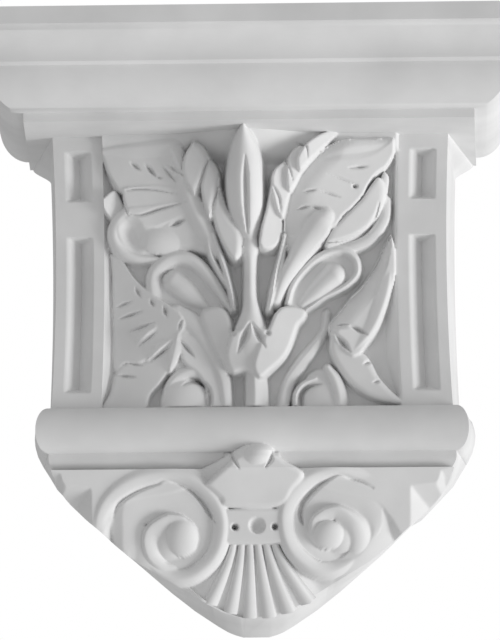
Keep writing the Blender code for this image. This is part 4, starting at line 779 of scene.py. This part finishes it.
def buildPendant(material):
    half = body["width"] / 2
    share = np.linspace(-1, 1, int(body["width"] / pendant["grid"]))
    scaleU = pendantUnits[0] / (body["width"] * pendantReach)
    scaleV = pendantUnits[1] / pendant["height"]
    rows = []
    profile = []
    for angle in np.linspace(90, -90, roll["arcPoints"]):
        angle = math.radians(angle)
        profile.append((roll["step"] + (roll["out"] - roll["step"]) * math.cos(angle),
                        rollTopZ - roll["height"] / 2 * (1 - math.sin(angle))))
    for s in np.linspace(0, 1, roll["neckPoints"]):
        down = roll["neckFillet"] + (1 - roll["neckFillet"]) * s
        profile.append((roll["step"] - roll["neckCove"] * s**2, neckTopZ - roll["neckHeight"] * down))
    xs, zs = np.meshgrid(share * half, [z for _, z in profile])
    knob = pendantFace(pendantTopZ) + knobRelief(xs * scaleU + body["shift"], (pendantTopZ - zs) * scaleV)
    for (out, z), over in zip(profile, knob):
        depth = body["depth"] + out
        depth = np.maximum(depth, over) if z < rollTopZ - roll["knobReach"] * roll["height"] else depth
        wide = half + out * roll["side"] / roll["out"]
        addRow(rows, share, z, wide, depth, np.interp(rollTopZ - z, *zip(*pendant["wall"])))
    levels = evenSteps(pendantTopZ, pendantTopZ - pendant["height"], pendant["grid"])
    down = (pendantTopZ - levels) / pendant["height"]
    wide = half * np.interp(down, *zip(*pendant["front"]))
    wallZ = levels - pendant["drop"] * down
    wall = np.interp(rollTopZ - wallZ, *zip(*pendant["wall"]))
    xs = share[None, :] * wide[:, None]
    zs = np.broadcast_to(levels[:, None], xs.shape)
    face = pendantFace(zs) + soften(pendantRelief(xs * scaleU + body["shift"], (pendantTopZ - zs) * scaleV))
    face = np.minimum(face, body["depth"] + roll["out"])
    for i, z in enumerate(levels):
        addRow(rows, share, z, wide[i], face[i], wall[i], wallZ[i])
    return closedPiece("corbelPendant", rows, material)


# The shell's ribs: a fan of bent bars with sloping sides, made by Geometry Nodes and then baked

ribs = {"Ribs": 6, "Points": 33, "Top Spacing": 3.9, "Foot Spacing": 9.4, "Bend": 1.25, "Middle": 0.2, "Drift": 2.1,
        "Top": -101.4, "Length": 34.6, "Shorter": 1.1, "Top Width": 3.9, "Foot Width": 9.4, "Flat": 0.6, "Thick": 0.42,
        "Lift": 0.1}


def ribTree(material):
    tree = bpy.data.node_groups.new("shellRibs", "GeometryNodeTree")
    for way in ("INPUT", "OUTPUT"):
        tree.interface.new_socket("Geometry", in_out=way, socket_type="NodeSocketGeometry")
    for name, value in ribInputs().items():
        kind = "NodeSocketInt" if isinstance(value, int) else "NodeSocketFloat"
        tree.interface.new_socket(name, in_out="INPUT", socket_type=kind)
    given = addNode(tree, "NodeGroupInput").outputs
    bar = addNode(tree, "GeometryNodeCurvePrimitiveLine", {"Start": (0, 0, 0), "End": (0, 0, -1)})
    bar = addNode(tree, "GeometryNodeResampleCurve", {"Curve": bar, "Count": given["Points"]})
    places = addNode(tree, "GeometryNodeMeshLine", {"Count": given["Ribs"], "Offset": (1, 0, 0)})
    bars = addNode(tree, "GeometryNodeInstanceOnPoints", {"Points": places, "Instance": bar})
    bars = addNode(tree, "GeometryNodeRealizeInstances", {"Geometry": bars})
    where = addNode(tree, "GeometryNodeInputPosition")
    where = addNode(tree, "ShaderNodeSeparateXYZ", {"Vector": where}).outputs
    value = {"x": where["X"], "z": where["Z"], **{name: given[name] for name in ribInputs()}}
    for name, operation, a, b in (
            ("along", "MULTIPLY", "z", -1.0), ("gaps", "SUBTRACT", "Ribs", 1.0), ("half", "MULTIPLY", "gaps", 0.5),
            ("place", "SUBTRACT", "x", "half"), ("bent", "POWER", "along", "Bend"),
            ("wider", "SUBTRACT", "Foot Spacing", "Top Spacing"), ("growth", "MULTIPLY", "wider", "bent"),
            ("spacing", "ADD", "Top Spacing", "growth"), ("aside", "MULTIPLY", "place", "spacing"),
            ("drift", "MULTIPLY", "Drift", "along"), ("drifted", "ADD", "aside", "drift"),
            ("outX", "ADD", "drifted", "Middle"), ("square", "MULTIPLY", "place", "place"),
            ("less", "MULTIPLY", "square", "Shorter"), ("length", "SUBTRACT", "Length", "less"),
            ("drop", "MULTIPLY", "along", "length"), ("outZ", "SUBTRACT", "Top", "drop"),
            ("below", "SUBTRACT", "Face Top", "outZ"), ("share", "DIVIDE", "below", "Face Height"),
            ("straight", "MULTIPLY", "share", 1 - pendant["bow"]), ("shareSquare", "MULTIPLY", "share", "share"),
            ("bowed", "MULTIPLY", "shareSquare", pendant["bow"]), ("fallen", "ADD", "straight", "bowed"),
            ("fall", "MULTIPLY", "fallen", "Face Fall"), ("depth", "SUBTRACT", "Face Depth", "fall"),
            ("widening", "SUBTRACT", "Foot Width", "Top Width"), ("widened", "MULTIPLY", "widening", "bent"),
            ("wide", "ADD", "Top Width", "widened"), ("halfThick", "MULTIPLY", "Thick", 0.5),
            ("sunk", "MULTIPLY", "wide", "halfThick"), ("raised", "ADD", "depth", "Lift"),
            ("front", "SUBTRACT", "raised", "sunk"), ("outY", "MULTIPLY", "front", -1.0)):
        value[name] = addNode(tree, "ShaderNodeMath", {0: value.get(a, a), 1: value.get(b, b)}, operation=operation)
    bars = addNode(tree, "GeometryNodeSetCurveRadius", {"Curve": bars, "Radius": value["wide"]})
    place = addNode(tree, "ShaderNodeCombineXYZ", {"X": value["outX"], "Y": value["outY"], "Z": value["outZ"]})
    bars = addNode(tree, "GeometryNodeSetPosition", {"Geometry": bars, "Position": place})
    section = addNode(tree, "GeometryNodeCurvePrimitiveQuadrilateral",
                      {"Height": given["Thick"], "Bottom Width": 1.0, "Top Width": given["Flat"], "Offset": 0.0},
                      mode="TRAPEZOID")
    thick = addNode(tree, "GeometryNodeInputRadius")
    bars = addNode(tree, "GeometryNodeCurveToMesh",
                   {"Curve": bars, "Profile Curve": section, "Scale": thick, "Fill Caps": True})
    bars = addNode(tree, "GeometryNodeRealizeInstances", {"Geometry": bars})
    bars = addNode(tree, "GeometryNodeSetMaterial", {"Geometry": bars, "Material": material})
    addNode(tree, "NodeGroupOutput", {"Geometry": bars})
    return tree


def ribInputs():  # sizes in metres, as the tree takes them
    plain = ("Ribs", "Points", "Bend", "Flat", "Thick")
    sizes = {name: value if name in plain else value * mm for name, value in ribs.items()}
    return {**sizes, "Face Top": pendantTopZ * mm, "Face Height": pendant["height"] * mm,
            "Face Depth": pendant["depth"] * mm, "Face Fall": (pendant["depth"] - pendant["tipDepth"]) * mm}


def buildShell(material):
    piece = bpy.data.objects.new("corbelShell", bpy.data.meshes.new("corbelShell"))
    bpy.context.scene.collection.objects.link(piece)
    modifier = piece.modifiers.new("ribs", "NODES")
    modifier.node_group = ribTree(material)
    for socket in modifier.node_group.interface.items_tree:
        if socket.in_out == "INPUT" and socket.name in ribInputs():
            modifier[socket.identifier] = ribInputs()[socket.name]
    bpy.context.view_layer.update()
    data = bpy.data.meshes.new_from_object(piece.evaluated_get(bpy.context.evaluated_depsgraph_get()))
    piece.modifiers.remove(modifier)
    data.name = "corbelShell"
    mesh = bmesh.new()
    mesh.from_mesh(data)
    bmesh.ops.recalc_face_normals(mesh, faces=mesh.faces)
    print("corbelShell has", sum(len(f.verts) - 2 for f in mesh.faces), "triangles, volume", mesh.calc_volume() / mm**3)
    mesh.to_mesh(data)
    mesh.free()
    piece.data = data
    return piece


# Material

def linear(hexColour):  # sRGB hex to linear red, green, blue, alpha
    parts = [int(hexColour[i:i + 2], 16) / 255 for i in (1, 3, 5)]
    return [c / 12.92 if c <= 0.04045 else ((c + 0.055) / 1.055)**2.4 for c in parts] + [1.0]


def addNode(tree, kind, links=None, **settings):  # links: socket to a value, an output, or a node's first output
    node = tree.nodes.new(kind)
    for name, value in settings.items():
        setattr(node, name, value)
    for socket, source in (links or {}).items():
        source = source.outputs[0] if isinstance(source, bpy.types.Node) else source
        if isinstance(source, bpy.types.NodeSocket):
            tree.links.new(source, node.inputs[socket])
        else:
            node.inputs[socket].default_value = source
    return node


plaster = {  # size and lift are millimetres, and the grain is drawn coarser than the real one, so that it shows
    "light": "#EBEBEB", "dark": "#DBDBDB", "cloudEnds": (0.25, 0.75),
    "cloud": dict(size=38.0, detail=3.0, rough=0.5), "grain": dict(size=0.9, detail=4.0, rough=0.6),
    "lift": 0.08, "bump": 0.35, "roughness": 0.72, "ior": 1.52, "specular": 0.3,
}


def makePlaster():  # cast gypsum plaster, unpainted: dead matt, nearly white, with a faint cloudiness from the mould
    material = bpy.data.materials.new("castGypsumPlaster")
    material.use_nodes = True
    tree = material.node_tree
    shader = tree.nodes["Principled BSDF"]
    place = addNode(tree, "ShaderNodeTexCoord").outputs["Object"]
    cloud, grain = (addNode(tree, "ShaderNodeTexNoise", {"Vector": place, "Scale": 1 / (look["size"] * mm),
                                                         "Detail": look["detail"], "Roughness": look["rough"]})
                    for look in (plaster["cloud"], plaster["grain"]))
    colour = addNode(tree, "ShaderNodeValToRGB", {"Fac": cloud})
    for end, tone, position in zip(colour.color_ramp.elements, ("dark", "light"), plaster["cloudEnds"]):
        end.color = linear(plaster[tone])
        end.position = position
    bump = addNode(tree, "ShaderNodeBump", {"Height": grain, "Strength": plaster["bump"],
                                            "Distance": plaster["lift"] * mm})
    tree.links.new(colour.outputs["Color"], shader.inputs["Base Color"])
    tree.links.new(bump.outputs["Normal"], shader.inputs["Normal"])
    shader.inputs["Roughness"].default_value = plaster["roughness"]
    shader.inputs["IOR"].default_value = plaster["ior"]
    shader.inputs["Specular IOR Level"].default_value = plaster["specular"]
    print("plaster made")
    return material


# Camera, light and floor

studio = {
    "elevation": -8.2, "azimuth": 1.0, "roll": 0.4, "distance": 1330.0, "aim": (-1.0, -60.0, 8.85), "focal": 5.4,
    "key": dict(at=(4250, -1300, -1400), size=2000, watts=141.0), "fill": 0.475,
    "floor": dict(z=-3200.0, half=9000.0, colour="#F2F2F2", roughness=0.9),
}


def setCamera():
    elevation, azimuth, tilt = (math.radians(studio[k]) for k in ("elevation", "azimuth", "roll"))
    back = np.array([math.sin(azimuth) * math.cos(elevation), -math.cos(azimuth) * math.cos(elevation),
                     math.sin(elevation)])
    right = np.array([math.cos(azimuth), math.sin(azimuth), 0.0])
    up = np.cross(back, right)
    right, up = right * math.cos(tilt) - up * math.sin(tilt), up * math.cos(tilt) + right * math.sin(tilt)
    data = bpy.data.cameras.new("camera")
    data.sensor_fit = "HORIZONTAL"
    data.lens = data.sensor_width * studio["focal"]
    camera = bpy.data.objects.new("camera", data)
    where = (np.array(studio["aim"]) + back * studio["distance"]) * mm
    camera.matrix_world = Matrix([[right[i], up[i], back[i], where[i]] for i in range(3)] + [[0, 0, 0, 1]])
    bpy.context.scene.collection.objects.link(camera)
    bpy.context.scene.camera = camera


def setLight():
    key = studio["key"]
    data = bpy.data.lights.new("key", "AREA")
    data.size = key["size"] * mm
    data.energy = key["watts"]
    lamp = bpy.data.objects.new("key", data)
    lamp.visible_camera = False
    where = np.array(key["at"]) * mm
    lamp.location = where
    aim = np.array(studio["aim"]) * mm - where
    lamp.rotation_mode = "QUATERNION"
    lamp.rotation_quaternion = Vector(aim).to_track_quat("-Z", "Y")
    bpy.context.scene.collection.objects.link(lamp)
    world = bpy.data.worlds.new("studio")
    world.use_nodes = True
    tree = world.node_tree
    path = addNode(tree, "ShaderNodeLightPath")
    fill = tree.nodes["Background"]
    fill.inputs["Color"].default_value = (1, 1, 1, 1)
    fill.inputs["Strength"].default_value = studio["fill"]
    seen = addNode(tree, "ShaderNodeBackground", {"Color": (1, 1, 1, 1), "Strength": 1.0})
    mix = addNode(tree, "ShaderNodeMixShader", {0: path.outputs["Is Camera Ray"], 1: fill, 2: seen})
    tree.links.new(mix.outputs[0], tree.nodes["World Output"].inputs["Surface"])
    bpy.context.scene.world = world
    bpy.context.scene.view_settings.view_transform = "Standard"


def setFloor():
    data = bpy.data.meshes.new("floor")
    z, far = studio["floor"]["z"] * mm, studio["floor"]["half"] * mm
    data.from_pydata([(-far, -far, z), (far, -far, z), (far, far, z), (-far, far, z)], [], [(0, 1, 2, 3)])
    material = bpy.data.materials.new("paleFloor")
    material.use_nodes = True
    shader = material.node_tree.nodes["Principled BSDF"]
    shader.inputs["Base Color"].default_value = linear(studio["floor"]["colour"])
    shader.inputs["Roughness"].default_value = studio["floor"]["roughness"]
    data.materials.append(material)
    floor = bpy.data.objects.new("floor", data)
    bpy.context.scene.collection.objects.link(floor)


setCamera()
setLight()
setFloor()
print("camera, light and floor set")
castPlaster = makePlaster()
for build in (buildCornice, buildBody, buildPendant, buildShell):
    piece = build(castPlaster)
    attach(piece, "root")
    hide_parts("corbel")
